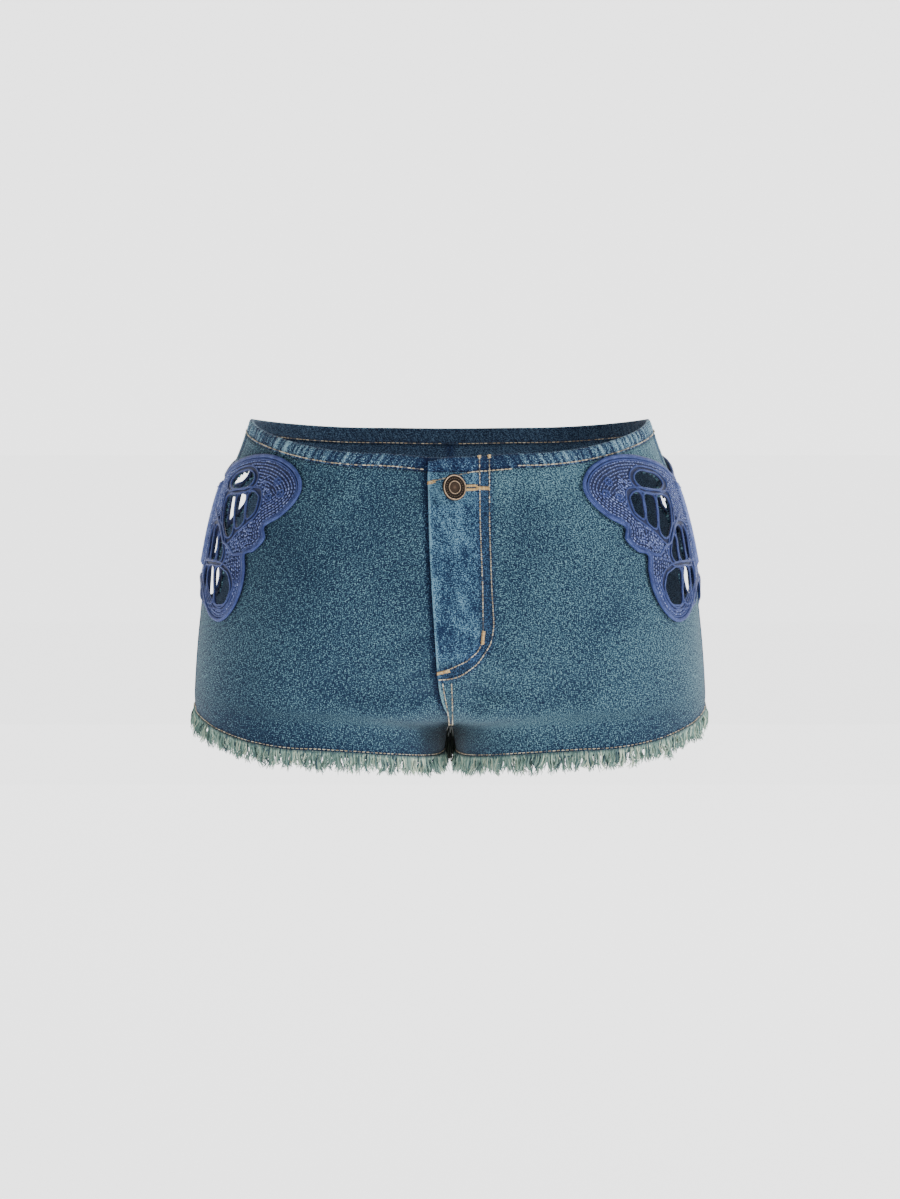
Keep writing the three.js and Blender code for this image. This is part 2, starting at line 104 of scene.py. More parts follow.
# ---- The denim panels ----
# Two fronts and two backs of stretch denim, washed to a teal blue, joined at the side seams, the fly,
# the seat seam and the inseams. Each is a wall of cloth on the filled-out form, cut away behind the
# butterfly's open cells. The left front laps over the right one at the fly.
TOP_Z = 12
CLOTH = 1.2
SEAM_FORWARD = 16
V_CASING = 0.06
V_CROTCH = 0.93
V_HEM = 1
V_FRINGE = 1.06
LEG_GAP = 4.5


def columns(names, *rows):
    return dict(zip(names.split(), np.array(rows, float).T))


SIDE = columns(
    "v x z",
    (0, 138, TOP_Z),
    (0.06, 141.5, 2),
    (0.22, 159.5, -43),
    (0.45, 170.5, -93),
    (0.65, 175.5, -133),
    (0.78, 177.5, -156),
    (0.88, 178.5, -172),
    (0.93, 178.8, -180),
    (1, 178.5, -188.5),
    (1.06, 180, -200),
)
FRONT = columns(
    "v ax ay az y z turn corner",
    (0, 50, -91, -9.8, -95, -12.6, 0, 0.5),
    (0.06, 51, -93.5, -19.8, -97, -22.8, 0, 0.5),
    (0.22, 58, -101, -64, -103, -66, 0, 0.7),
    (0.45, 68, -106, -105, -106, -108, 0, 0.45),
    (0.65, 80, -105, -141, -102, -145, 2, 0.4),
    (0.78, 88, -102, -164, -91, -171, 14, 0.45),
    (0.88, 91, -99.5, -182, -64, -192, 48, 0.5),
    (0.93, 92, -98, -192, 2, -203, 80, 0.6),
    (1, 92, -96, -213, 4, -224, 90, 0.65),
    (1.06, 92, -97, -224.5, 4, -235.5, 90, 0.65),
)
BACK = columns(
    "v ax ay az y z turn corner",
    (0, 52, 89, 4.5, 93, 4, 0, 0.35),
    (0.06, 54, 93, -6.5, 97, -7.5, 0, 0.35),
    (0.22, 62, 111, -48, 111, -50, 0, 0.3),
    (0.45, 72, 122, -94, 119, -98, 2, 0.3),
    (0.65, 80, 120, -135, 113, -140, 8, 0.3),
    (0.78, 86, 114, -160, 96, -169, 22, 0.35),
    (0.88, 90, 108, -180, 60, -191, 52, 0.45),
    (0.93, 91, 104, -192, 2, -203, 80, 0.55),
    (1, 92, 100, -213, 4, -224, 90, 0.6),
    (1.06, 92, 101, -224.5, 4, -235.5, 90, 0.6),
)
FLY = columns(
    "v lap under",
    (0, 15, 15),
    (0.3, 13, 15),
    (0.62, 9.5, 14),
    (0.74, 8, 5),
    (0.82, 5.5, 3),
    (0.87, 0.3, 0.3),
    (0.9, 0, 0),
    (1, 0, 0),
)
HANDLE = 0.5523
FORK_HANDLE = 0.7
ROWS = 240
SAMPLES = 400
BISECTIONS = 18
FLY_LAST_LEVEL = 0.99


def read(table, name, v):
    """A smooth curve through one column of a table."""
    x, y = table["v"], table[name]
    slope = np.empty_like(y)
    slope[1:-1] = (y[2:] - y[:-2]) / (x[2:] - x[:-2])
    slope[0] = (y[1] - y[0]) / (x[1] - x[0])
    slope[-1] = (y[-1] - y[-2]) / (x[-1] - x[-2])
    k = np.clip(np.searchsorted(x, v, side="right") - 1, 0, len(x) - 2)
    span = x[k + 1] - x[k]
    t = (v - x[k]) / span
    rise = (2 * t**3 - 3 * t**2 + 1) * y[k] + (3 * t**2 - 2 * t**3) * y[k + 1]
    return rise + ((t**3 - 2 * t**2 + t) * slope[k] + (t**3 - t**2) * slope[k + 1]) * span


def bezier(points, t):
    a, b, c, d = (np.array(p, float) for p in points)
    t = t[:, None]
    return a * (1 - t) ** 3 + 3 * b * t * (1 - t) ** 2 + 3 * c * t**2 * (1 - t) + d * t**3


def length_along(points):
    """How far along a path each of its points lies."""
    return np.concatenate([[0], np.cumsum(np.linalg.norm(np.diff(points, axis=0), axis=1))])


def half_section(table, v):
    """Half a section at one level, from the widest point to the centre seam or inseam."""
    side_x, side_z = read(SIDE, "x", v), read(SIDE, "z", v)
    ax, ay, az = (read(table, name, v) for name in ("ax", "ay", "az"))
    if v <= V_CROTCH:
        end = (0, read(table, "y", v), read(table, "z", v))
    else:
        legs = {name: column[table["v"] >= V_CROTCH] for name, column in table.items()}
        opened = min(1, (v - V_CROTCH) / (V_HEM - V_CROTCH))
        end = (LEG_GAP * math.sqrt(opened), read(legs, "y", v), read(legs, "z", v))
    turn = math.radians(read(table, "turn", v))
    corner = read(table, "corner", v) * HANDLE
    across, inward = ax - end[0], abs(ay - end[1])
    reach = HANDLE * across * math.cos(turn) + FORK_HANDLE * inward * math.sin(turn)
    handle = HANDLE + (FORK_HANDLE - HANDLE) * math.sin(turn)
    t = np.linspace(0, 1, 90)
    to_apex = bezier(
        [
            (side_x, 0, side_z),
            (side_x, HANDLE * ay, side_z + corner * (az - side_z)),
            (ax + HANDLE * (side_x - ax), ay, az),
            (ax, ay, az),
        ],
        t,
    )
    leave_y = end[1] + math.copysign(1, ay) * reach * math.sin(turn)
    to_seam = bezier(
        [
            (ax, ay, az),
            (ax - handle * across, ay, az + (end[2] - az) * 0.3),
            (end[0] + reach * math.cos(turn), leave_y, end[2]),
            end,
        ],
        t,
    )
    points = np.vstack([to_apex, to_seam[1:]])
    far = length_along(points)
    even = np.linspace(0, far[-1], SAMPLES)
    return np.stack([np.interp(even, far, points[:, k]) for k in range(3)], axis=1), far[-1]


ROW_V = np.linspace(0, V_FRINGE, ROWS + 1)
found = [[half_section(table, v) for v in ROW_V] for table in (FRONT, BACK)]
HALF = np.array([[half for half, length in rows] for rows in found])
LENGTH = np.array([[length for half, length in rows] for rows in found])


def on_row(u, row):
    """u runs round the body from the side seam: the front is positive and the back negative. Past a
    centre seam it runs on into the other half, and past an inseam it runs on round the same leg."""
    distance = u + SEAM_FORWARD
    face = (distance < 0).astype(int)
    distance = np.abs(distance)
    past = distance - LENGTH[face, row]
    over = past > 0
    leg = ROW_V[row] > V_CROTCH
    own = LENGTH[face, row]
    far_round = over & ~leg & (past > own)
    face = np.where((over & leg) | far_round, 1 - face, face)
    length = LENGTH[face, row]
    distance = np.where(over, np.abs(np.where(leg, length, own) - past), distance)
    at = np.clip(distance / length, 0, 1) * (SAMPLES - 1)
    i = np.minimum(at.astype(int), SAMPLES - 2)
    t = (at - i)[..., None]
    p = HALF[face, row, i] * (1 - t) + HALF[face, row, i + 1] * t
    p[..., 0] = np.where(over & ~leg, -p[..., 0], p[..., 0])
    return p


def between_rows(v):
    k = np.clip(v / V_FRINGE * ROWS, 0, ROWS)
    low = np.minimum(k.astype(int), ROWS - 1)
    return low, k - low


def shell(u, v):
    u, v = np.broadcast_arrays(np.asarray(u, float), np.asarray(v, float))
    low, t = between_rows(v)
    t = t[..., None]
    return on_row(u, low) * (1 - t) + on_row(u, low + 1) * t


def unit(vectors):
    return vectors / np.maximum(np.linalg.norm(vectors, axis=-1, keepdims=True), 1e-9)


def directions(u, v):
    """Unit vectors round the body, down it and out of it."""
    around = shell(u + 1.5, v) - shell(u - 1.5, v)
    down = shell(u, np.minimum(V_FRINGE, v + 0.006)) - shell(u, np.maximum(0, v - 0.006))
    return unit(around), unit(down), unit(np.cross(around, down))


def seam_at(v, face):
    """u of the centre seam or inseam, at the front (1) or the back (-1)."""
    low, t = between_rows(np.asarray(v, float))
    row = 0 if face > 0 else 1
    return face * (LENGTH[row, low] * (1 - t) + LENGTH[row, low + 1] * t) - SEAM_FORWARD


def level_at(u, drop):
    """v of the place that lies `drop` below the top of the waist edge."""
    low, high = np.zeros_like(u), np.full_like(u, V_FRINGE)
    for _ in range(BISECTIONS):
        middle = (low + high) / 2
        above = shell(u, middle)[..., 2] > TOP_Z - drop
        low, high = np.where(above, middle, low), np.where(above, high, middle)
    return (low + high) / 2


def smoothstep(x, start, stop):
    t = np.clip((x - start) / (stop - start), 0, 1)
    return t * t * (3 - 2 * t)


def fly_edge(v, column="lap"):
    """How far past the centre seam the left front laps, or the right one runs on under it."""
    return read(FLY, column, np.minimum(v, FLY_LAST_LEVEL))


LAP_LIFT = CLOTH + 0.6
LAP_RAMP = 9
V_LAP_END = 0.89


def lap_lift(side, u, v):
    """How far the left front stands off the shell over the right one's underlap."""
    if side < 0:
        return np.zeros(np.broadcast(u, v).shape)
    clear = fly_edge(v, "under") + 3
    fade = 1 - smoothstep(v, V_LAP_END, V_CROTCH)
    return LAP_LIFT * fade * (1 - smoothstep(seam_at(v, 1) - u, clear, clear + LAP_RAMP))


# Gathers, drawn up by the waist elastic: uneven ridges across the band that die away below it.
GIRTH = np.arange(-290, 290, 0.5)
GATHERS = 300
chance = np.random.default_rng(11)


def gathers(narrow, wide):
    """Uneven ridges with sharp valleys between them, along the right and the left half of the waist."""
    halves = {}
    for side in (-1, 1):
        edges = GIRTH[0] + np.cumsum(chance.uniform(narrow, wide, GATHERS))
        k = np.clip(np.searchsorted(edges, GIRTH), 1, GATHERS - 1)
        t = np.clip((GIRTH - edges[k - 1]) / (edges[k] - edges[k - 1]), 0, 1)
        halves[side] = chance.uniform(0.3, 1, GATHERS)[k] * np.sin(math.pi * t) ** 0.8
    return halves


BAND_GATHERS = gathers(3.0, 7.5)
FINE_GATHERS = gathers(2.2, 4)


def gather_at(side, u, v):
    """Height of the gathers from 0 to about 1. They lean a little and are calmer beside the fly."""
    lean = 20 * (v - V_CASING)
    ridge = np.interp(u + lean, GIRTH, BAND_GATHERS[side]) * 0.75
    ridge = ridge + np.interp(u - lean, GIRTH, FINE_GATHERS[side]) * 0.25
    from_fly = np.where(u > 0, seam_at(v, 1) - u, 200)
    start, stop = (22, 75) if side > 0 else (-6, 95)
    calm = 0.25 if side > 0 else 0.35
    return ridge * (calm + (1 - calm) * smoothstep(from_fly, start, stop))


# Main creases as soft troughs (depth above 0) and ridges (below 0). Each runs between two places given
# as the distance from the centre seam and the drop from the waist, on one face and one or both sides.
CREASES = columns(
    "face side from_c from_drop to_c to_drop width depth",
    (1, -1, 18, 98, 33, 94, 2.4, 0.55),
    (1, -1, 15, 112, 31, 111, 2.6, 0.5),
    (1, -1, 13, 133, 27, 136, 2.2, 0.7),
    (1, -1, 12, 142, 34, 150, 3.0, 0.6),
    (1, -1, 8, 163, 30, 175, 3.6, 0.7),
    (1, -1, 5, 180, 36, 192, 4.5, 1.1),
    (1, -1, 40, 196, 96, 176, 9, 0.7),
    (1, -1, 62, 40, 84, 66, 6, -0.5),
    (1, -1, 120, 60, 92, 110, 16, 0.7),
    (1, 1, 34, 36, 42, 70, 5, -0.5),
    (1, 1, 32, 120, 34, 160, 6, 0.5),
    (1, 1, 6, 178, 34, 186, 3.6, 1.0),
    (1, 1, 5, 187, 30, 198, 4, 1.1),
    (1, 1, 44, 200, 104, 172, 10, 0.8),
    (1, 1, 96, 44, 80, 84, 8, -0.4),
    (1, 1, 128, 120, 86, 150, 15, 0.6),
    (1, 1, -9, 60, 8, 66, 3, 0.4),
    (1, 1, -8, 84, 12, 80, 3.5, -0.45),
    (1, 1, -6, 104, 10, 112, 3, 0.5),
    (1, 1, -5, 128, 13, 124, 3.5, -0.4),
    (1, 1, 4, 40, 7, 150, 3.2, -0.35),
    (-1, -1, 4, 40, 48, 58, 9, 0.6),
    (-1, -1, 6, 176, 70, 204, 8, 1.4),
    (-1, -1, 10, 160, 62, 184, 6, 0.8),
    (-1, -1, 96, 196, 150, 168, 11, 0.8),
    (-1, -1, 70, 40, 58, 76, 7, -0.5),
    (-1, 1, 5, 46, 40, 52, 8, 0.5),
    (-1, 1, 5, 180, 64, 207, 8, 1.5),
    (-1, 1, 12, 164, 52, 192, 6, 0.7),
    (-1, 1, 90, 200, 142, 160, 12, 0.7),
    (-1, 1, 84, 44, 66, 82, 7, -0.5),
)


def relief(side, u, v):
    """How far the worn cloth stands off the smooth form: gathers, creases, seam grooves, a wavy hem."""
    front = u > 0
    centre = np.where(front, seam_at(v, 1) - u, u - seam_at(v, -1))
    drop = TOP_Z - shell(u, v)[..., 2]
    below = np.maximum(0, v - V_CASING) * 265
    ridge = gather_at(side, u, v)
    height = ridge * (1.25 * np.exp(-below / 8) + 0.3 * np.exp(-below / 30))
    for face, which, c0, d0, c1, d1, width, depth in zip(*CREASES.values()):
        if which != side:
            continue
        along = np.array([c1 - c0, d1 - d0])
        size = along @ along
        t = ((centre - c0) * along[0] + (drop - d0) * along[1]) / size
        off = ((centre - c0) * along[1] - (drop - d0) * along[0]) / math.sqrt(size)
        taper = smoothstep(t, -0.25, 0.35) * smoothstep(-t, -1.25, -0.6)
        here = (front if face > 0 else ~front) * taper
        height = height - here * depth * np.exp(-((off / width) ** 2))
    height = height - 0.7 * np.exp(-((u / 1.8) ** 2))
    # the flap's folded edge is a rounded roll, and the cloth under it dips
    from_edge = centre + side * fly_edge(v)
    at_flap = front * (1 - smoothstep(v, 0.83, 0.88))
    roll, across = (0.45, 2.2) if side > 0 else (-1.0, 2.4)
    height = height + at_flap * roll * np.exp(-((from_edge / across) ** 2))
    wave = np.sin(u / 5.2 + side) + 0.7 * np.sin(u / 2.9 + 2 * side)
    return height + 0.22 * wave * np.exp(-(V_HEM - v) * 120 / 5)


def on_cloth(side, u, v, height=0.0):
    """World place, in metres, of a point `height` mm off the cloth's outer face."""
    lift = height + relief(side, u, v) + np.where(u > 0, lap_lift(side, u, v), 0)
    p = shell(u, v) + directions(u, v)[2] * np.asarray(lift)[..., None]
    return p * (side, 1, 1) * MM


def new_piece(name, points, faces, *node_names):
    """A smooth-shaded mesh object that rides on the body and stands for the CAD nodes named."""
    mesh = bpy.data.meshes.new(name)
    mesh.from_pydata(points.tolist(), [], faces)
    mesh.polygons.foreach_set("use_smooth", np.ones(len(faces), bool))
    piece = bpy.data.objects.new(name, mesh)
    bpy.context.scene.collection.objects.link(piece)
    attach(piece, "root")
    if node_names:
        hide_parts(*node_names)
    return piece


def set_uv(piece, name, values):
    """One UV layer from a pair of numbers for each point of the mesh."""
    mesh = piece.data
    corner_points = np.empty(len(mesh.loops), int)
    mesh.loops.foreach_get("vertex_index", corner_points)
    layer = mesh.uv_layers.new(name=name)
    layer.data.foreach_set("uv", values[corner_points].astype(np.float32).ravel())


def inside(points, polygon):
    """Which points lie in a closed outline, by counting the edges to their right."""
    x, y = points[..., 0], points[..., 1]
    odd = np.zeros(x.shape, bool)
    for (x0, y0), (x1, y1) in zip(polygon, np.roll(polygon, -1, axis=0)):
        crosses = (y0 > y) != (y1 > y)
        odd ^= crosses & (x < x0 + (y - y0) * (x1 - x0) / (y1 - y0 + 1e-12))
    return odd


# The fly's two rows of stitches and the middle of the band between them, as the distance from the
# centre seam and the drop from the waist edge.
J_INNER = ((19.4, 21.5), (20.1, 70.8), (21.8, 112), (22.2, 141.5))
J_FOOT = ((22, 147.5), (18.5, 154), (11, 160.5), (0.5, 165.3), (-8, 168.3))
J_OUTER = (
    (26.4, 21.5), (26.4, 70.8), (27.8, 112), (29.4, 137), (27.4, 149), (18.7, 162.5), (7.5, 170.2),
    (0.5, 172.3), (-8, 172.6),
)
J_MIDDLE = ((23, 21.5), (23.3, 71), (24.8, 112), (25.8, 141), (23, 152), (14, 162), (4, 168), (-8, 170.4))


def from_route(x, drop, route):
    """Distance of places on the cloth from a route of straight stretches."""
    nearest = np.full(x.shape, 99.0)
    for (x0, d0), (x1, d1) in zip(route[:-1], route[1:]):
        ax, ad = x1 - x0, d1 - d0
        t = np.clip(((x - x0) * ax + (drop - d0) * ad) / (ax * ax + ad * ad), 0, 1)
        nearest = np.minimum(nearest, np.hypot(x - x0 - t * ax, drop - d0 - t * ad))
    return nearest


def seam_dye_and_flap_shadow(side, u, v, to_hem):
    """Distance in mm to the nearest seam, edge or row of stitches, where the dye has kept its depth; on the
    right front, distance to the flap's edge, beside which it paints the flap's shadow.
    """
    front = u > 0
    centre = np.where(front, seam_at(v, 1) - u, u - seam_at(v, -1))
    fly = front & (v < 0.86)
    at_centre = np.where(fly, 99, np.abs(centre))
    # on the right front the strip beside the flap's edge is darkened as painted shadow of the flap
    if side < 0:
        from_flap = centre - fly_edge(v)
        at_centre = np.where(fly, np.abs(from_flap - 1) * 1.2, at_centre)
    else:
        drop = TOP_Z - shell(u, v)[..., 2]
        band = np.maximum(1.2, from_route(centre, drop, J_MIDDLE) - 2.4)
        at_centre = np.minimum(at_centre, np.where(front, band, 99))
    return np.minimum(np.minimum(np.abs(u) * 1.4 - 2, at_centre), to_hem * 0.45 + 1)


# Where the flap is rubbed pale or has kept its dye: from the centre line, below the top, the size of
# the place across and along, and how much lighter it is.
RUBS = columns(
    "across down wide long gain",
    (-3, 66, 6, 15, 0.16),
    (6, 74, 2.2, 20, 0.2),
    (-8, 120, 2.4, 20, 0.2),
    (8, 120, 2.6, 18, 0.16),
    (4, 96, 9, 8, -0.18),
    (-4, 142, 6, 8, -0.16),
    (17, 147, 2.5, 6, 0.16),
    (2, 158, 8, 5, 0.12),
    (14, 66, 2.5, 12, -0.12),
    (-1, 108, 2, 14, -0.12),
    (13, 104, 2, 16, 0.08),
    (1, 134, 1.6, 14, 0.1),
)


def wash_wear_and_painted_light(side, u, v, fall):
    """How rubbed the cloth is (on the flap) and how light it is, about 0.5: the wash and its wear, with
    painted light and shade added.
    """
    front = u > 0
    centre = np.where(front, seam_at(v, 1) - u, u - seam_at(v, -1))
    drop = TOP_Z - shell(u, v)[..., 2]
    rubbed = (side > 0) * front * smoothstep(-centre, -23, -17) * smoothstep(-drop, -166, -158)
    # painted light and shade: just under the band the lit side is lighter and the shaded side darker
    light = 0.48 + (0.09 if side > 0 else -0.04) * np.exp(-(((fall - 9) / 12) ** 2))
    from_edge = centre + fly_edge(v)
    lap_edge = (side > 0) * front * (v < 0.86) * np.exp(-((from_edge / 1.1) ** 2))
    light = light + 0.22 * lap_edge
    # painted shade: the front is darker on the shaded side (0.1) than on the lit side (0.01); the rubbed
    # flap is paler below its top
    light = light - (0.01 if side > 0 else 0.1) * front + 0.1 * rubbed * smoothstep(-drop, -75, -45)
    for across, down, wide, long, gain in zip(*RUBS.values()):
        spread = ((centre - across) / wide) ** 2 + ((drop - down) / long) ** 2
        light = light + gain * rubbed * np.exp(-spread)
    # painted highlight along the hips by the side seams
    light = light + 0.1 * np.exp(-((u / 38) ** 2))
    # painted shade towards the hem
    light = light - 0.12 * smoothstep(fall - fall[-1], -34, -4)
    beside_fly = np.exp(-(((centre - 46) / 15) ** 2)) * np.exp(-(((drop - 110) / 55) ** 2))
    light = light - (0.12 if side > 0 else 0.05) * front * beside_fly
    whiskers = np.sin((drop - 150 - centre * 0.35) / 4.2) * np.exp(-(((drop - 165) / 26) ** 2))
    light = light + 0.05 * whiskers * np.exp(-(((centre - 30) / 26) ** 2))
    return np.stack([rubbed, light], axis=-1)


def cloth_wall(name, side, u, v, outer, inner, keep, nodes):
    """A wall of cloth over a grid of (u, v), with a rounded edge wherever it ends or is cut away."""
    rows, across = u.shape
    out = directions(u, v)[2]
    base = shell(u, v)
    lift = relief(side, u, v)
    faces_at = [(base + out * (height + lift)[..., None]).reshape(-1, 3) for height in (outer, inner)]
    j, i = np.nonzero(keep)
    corner = j * across + i
    quads = np.stack([corner, corner + 1, corner + across + 1, corner + across], axis=1)
    edges = np.concatenate([quads[:, [k, (k + 1) % 4]] for k in range(4)])
    owner = np.tile(np.arange(len(quads)), 4)
    code = edges.min(1).astype(np.int64) * (rows * across) + edges.max(1)
    _, first, count = np.unique(code, return_index=True, return_counts=True)
    rim = first[count == 1]
    middle = (faces_at[0] + faces_at[1]) / 2
    push = np.zeros_like(middle)
    for end in (0, 1):
        away = middle[edges[rim]].mean(1) - middle[quads[owner[rim]]].mean(1)
        np.add.at(push, edges[rim, end], unit(away))
    on_rim = np.unique(edges[rim])
    rounded = middle[on_rim] + unit(push[on_rim]) * 0.4
    size = rows * across
    slot = np.full(size, -1)
    slot[on_rim] = np.arange(len(on_rim)) + 2 * size
    a, b = edges[rim].T
    rim_faces = [
        np.stack([b, a, slot[a], slot[b]], axis=1),
        np.stack([slot[b], slot[a], a + size, b + size], axis=1),
    ]
    all_faces = np.concatenate([quads, quads[:, ::-1] + size, *rim_faces])
    points = np.concatenate([*faces_at, rounded])
    if side < 0:
        all_faces = all_faces[:, ::-1]
    piece = new_piece(name, points * (side, 1, 1) * MM, all_faces.tolist(), *nodes)
    # how far down the cloth each point lies, along the cloth
    fall = np.zeros_like(u)
    fall[1:] = np.cumsum(np.linalg.norm(np.diff(base, axis=0), axis=2), axis=0)
    place = np.stack([u, -fall], axis=-1).reshape(-1, 2) * MM
    # near: deep seam dye, plus painted shadow beside the flap's edge on the right front
    near = seam_dye_and_flap_shadow(side, u, v, fall[-1] - fall)
    edge = np.exp(-(((seam_at(v, 1) + fly_edge(v) - u) / 1.3) ** 2))
    # raised: paler where the cloth stands off and darker in creases and dips, partly wear and partly painted
    # highlight and shade; paler on the flap's worn edge
    raised = 0.5 + lift * 0.2 + (0.5 * edge if side > 0 else 0)
    wear_and_shading = np.stack([near * MM * 10, raised], axis=-1).reshape(-1, 2)
    set_uv(piece, "cloth", np.concatenate([place, place, place[on_rim]]))
    set_uv(piece, "wear_and_shading", np.concatenate([wear_and_shading, wear_and_shading, wear_and_shading[on_rim]]))
    tone = wash_wear_and_painted_light(side, u, v, fall).reshape(-1, 2)
    set_uv(piece, "tone", np.concatenate([tone, tone, tone[on_rim]]))
    inner_faces = np.zeros(len(all_faces), np.int32)
    inner_faces[len(quads) : 2 * len(quads)] = 1
    piece.data.polygons.foreach_set("material_index", inner_faces)
    return piece


class Wire:
    """A shader value that takes part in ordinary sums."""

    def __init__(self, tree, socket):
        self.tree = tree
        self.socket = socket

    def into(self, socket):
        self.tree.links.new(self.socket, socket)

    def sum(self, operation, *terms):
        node = self.tree.nodes.new("ShaderNodeMath")
        node.operation = operation
        for socket, term in zip(node.inputs, terms):
            if isinstance(term, Wire):
                term.into(socket)
            else:
                socket.default_value = term
        return Wire(self.tree, node.outputs[0])

    def __add__(self, other):
        return self.sum("ADD", self, other)

    def __sub__(self, other):
        return self.sum("SUBTRACT", self, other)

    def __rsub__(self, other):
        return self.sum("SUBTRACT", other, self)

    def __mul__(self, other):
        return self.sum("MULTIPLY", self, other)

    def wave(self):
        return self.sum("SINE", self)

    def clamped(self):
        held = self.sum("MULTIPLY_ADD", self, 1.0, 0.0)
        held.socket.node.use_clamp = True
        return held

    def step(self, start, stop):
        node = self.tree.nodes.new("ShaderNodeMapRange")
        node.interpolation_type = "SMOOTHSTEP"
        node.inputs["From Min"].default_value = start
        node.inputs["From Max"].default_value = stop
        self.into(node.inputs["Value"])
        return Wire(self.tree, node.outputs[0])

    __radd__ = __add__
    __rmul__ = __mul__


class Finish:
    """A material under construction."""

    def __init__(self, name, **constants):
        self.material = bpy.data.materials.new(name)
        self.material.use_nodes = True
        self.tree = self.material.node_tree
        self.surface = self.tree.nodes["Principled BSDF"]
        for socket, value in constants.items():
            self.surface.inputs[socket.replace("_", " ")].default_value = value

    def node(self, kind, settings=None, inputs=None, out=0):
        made = self.tree.nodes.new(kind)
        for name, value in (settings or {}).items():
            setattr(made, name, value)
        for name, value in (inputs or {}).items():
            if isinstance(value, Wire):
                value.into(made.inputs[name])
            else:
                made.inputs[name].default_value = value
        return Wire(self.tree, made.outputs[out])

    def uv(self, layer):
        whole = self.node("ShaderNodeUVMap", {"uv_map": layer})
        split = self.node("ShaderNodeSeparateXYZ", None, {"Vector": whole})
        return split, Wire(self.tree, split.socket.node.outputs[1])

    def noise(self, x, y, detail=2.0, rough=0.5, shift=0.0):
        place = self.node("ShaderNodeCombineXYZ", None, {"X": x, "Y": y, "Z": shift})
        values = {"Vector": place, "Scale": 1.0, "Detail": detail, "Roughness": rough}
        return self.node("ShaderNodeTexNoise", None, values)

    def mix(self, amount, low, high, blend="MIX"):
        made = self.tree.nodes.new("ShaderNodeMix")
        made.data_type = "RGBA"
        made.blend_type = blend
        for socket, value in ((made.inputs[0], amount), (made.inputs[6], low), (made.inputs[7], high)):
            if isinstance(value, Wire):
                value.into(socket)
            elif isinstance(value, tuple):
                socket.default_value = (*value, 1)
            else:
                socket.default_value = value
        return Wire(self.tree, made.outputs[2])

    def paint(self, colour, rough=None):
        colour.into(self.surface.inputs["Base Color"])
        if rough:
            rough.into(self.surface.inputs["Roughness"])

    def bump(self, height, metres, strength=1.0):
        values = {"Height": height, "Distance": metres, "Strength": strength}
        self.node("ShaderNodeBump", None, values).into(self.surface.inputs["Normal"])


def denim(name, deep, middle, pale, ridges=0.9, speckle=1.0):
    """Washed twill: slubby upright warp threads, a strong salt-and-pepper grain, paler on raised places and
    darker in creases (partly wear, partly painted highlight and shade), deep blue beside the seams with a
    painted shadow beside the flap's edge, painted light and shade carried in the tone layer, and worn pale
    in upright patches where it is rubbed."""
    finish = Finish(name, Roughness=0.9, Sheen_Weight=0.08, Sheen_Roughness=0.5)
    finish.surface.inputs["Specular IOR Level"].default_value = 0.12
    x, y = finish.uv("cloth")
    near, raised = finish.uv("wear_and_shading")
    rubbed, light = finish.uv("tone")
    warp = finish.noise(x * 1500, y * 330, 2, 0.6)
    weft = finish.noise(x * 420, y * 1700, 2, 0.6, 3.0)
    grain = finish.noise(x * 1150, y * 1400, 1, 0.5, 4.0)
    cloud = finish.noise(x * 60, y * 45, 4, 0.65, 9.0)
    wash = finish.noise(x * 10, y * 9, 2, 0.5, 2.0)
    twill = ((x * 0.8 + y) * (2 * math.pi / 0.00095)).wave() * 0.5 + 0.5
    tone = (grain - 0.5) * (3.9 * speckle) + (warp - 0.5) * (2.4 * speckle)
    tone = tone + (weft - 0.5) * (1.9 * speckle) + (twill - 0.5) * 0.1
    # the raised term paints ridges lighter and creases darker: partly wear, partly painted highlight and
    # shade
    tone = tone + (cloud - 0.5) * 0.3 + (wash - 0.5) * 0.5 + (raised - 0.5) * ridges + 0.42
    patch = finish.noise(x * 170, y * 60, 3, 0.6, 7.0)
    # the tone layer's lightness carries the wash together with painted light and shade
    tone = (tone + (light - 0.5) * 1.4 + (patch - 0.53) * rubbed * 1.9).clamped()
    colour = finish.mix(tone.step(0.0, 0.52), deep, middle)
    colour = finish.mix(tone.step(0.48, 1.0), colour, pale)
    colour = finish.mix(rubbed, colour, (0.93, 0.99, 1.16), "MULTIPLY")
    # painted shade: the flap's shadow, together with the deep dye beside the seams
    shade = (1 - near.step(0.0, 0.055)) * 0.9
    finish.paint(finish.mix(shade, colour, (0.22, 0.3, 0.56), "MULTIPLY"))
    finish.bump(twill * 0.3 + grain * 0.9 + warp * 0.5, 0.00035, 0.8)
    return finish.material


BODY_DENIM = denim("denim", (0.003, 0.011, 0.033), (0.02, 0.054, 0.086), (0.125, 0.235, 0.275))
# ridges=3.1 makes the gathers pale on top and dark between: partly wear, partly painted highlight and shade
CASING_DENIM = denim(
    "denim_casing", (0.003, 0.008, 0.032), (0.024, 0.058, 0.108), (0.2, 0.33, 0.4), ridges=3.1, speckle=0.7
)
# The denim's reverse inside the shorts, coloured about half as light as the outside: painted shade.
SHADED_INSIDE_DENIM = denim("denim_inside_shaded", (0.003, 0.008, 0.022), (0.012, 0.027, 0.055), (0.05, 0.085, 0.13))

# The right butterfly is sewn on further back than the left one, and slants a little.
ASKEW_SHIFT, ASKEW_SLANT, ASKEW_LEVEL = -8, 0.08, 80


def askew(side, drop):
    return (ASKEW_SHIFT + ASKEW_SLANT * (drop - ASKEW_LEVEL)) * (side < 0)


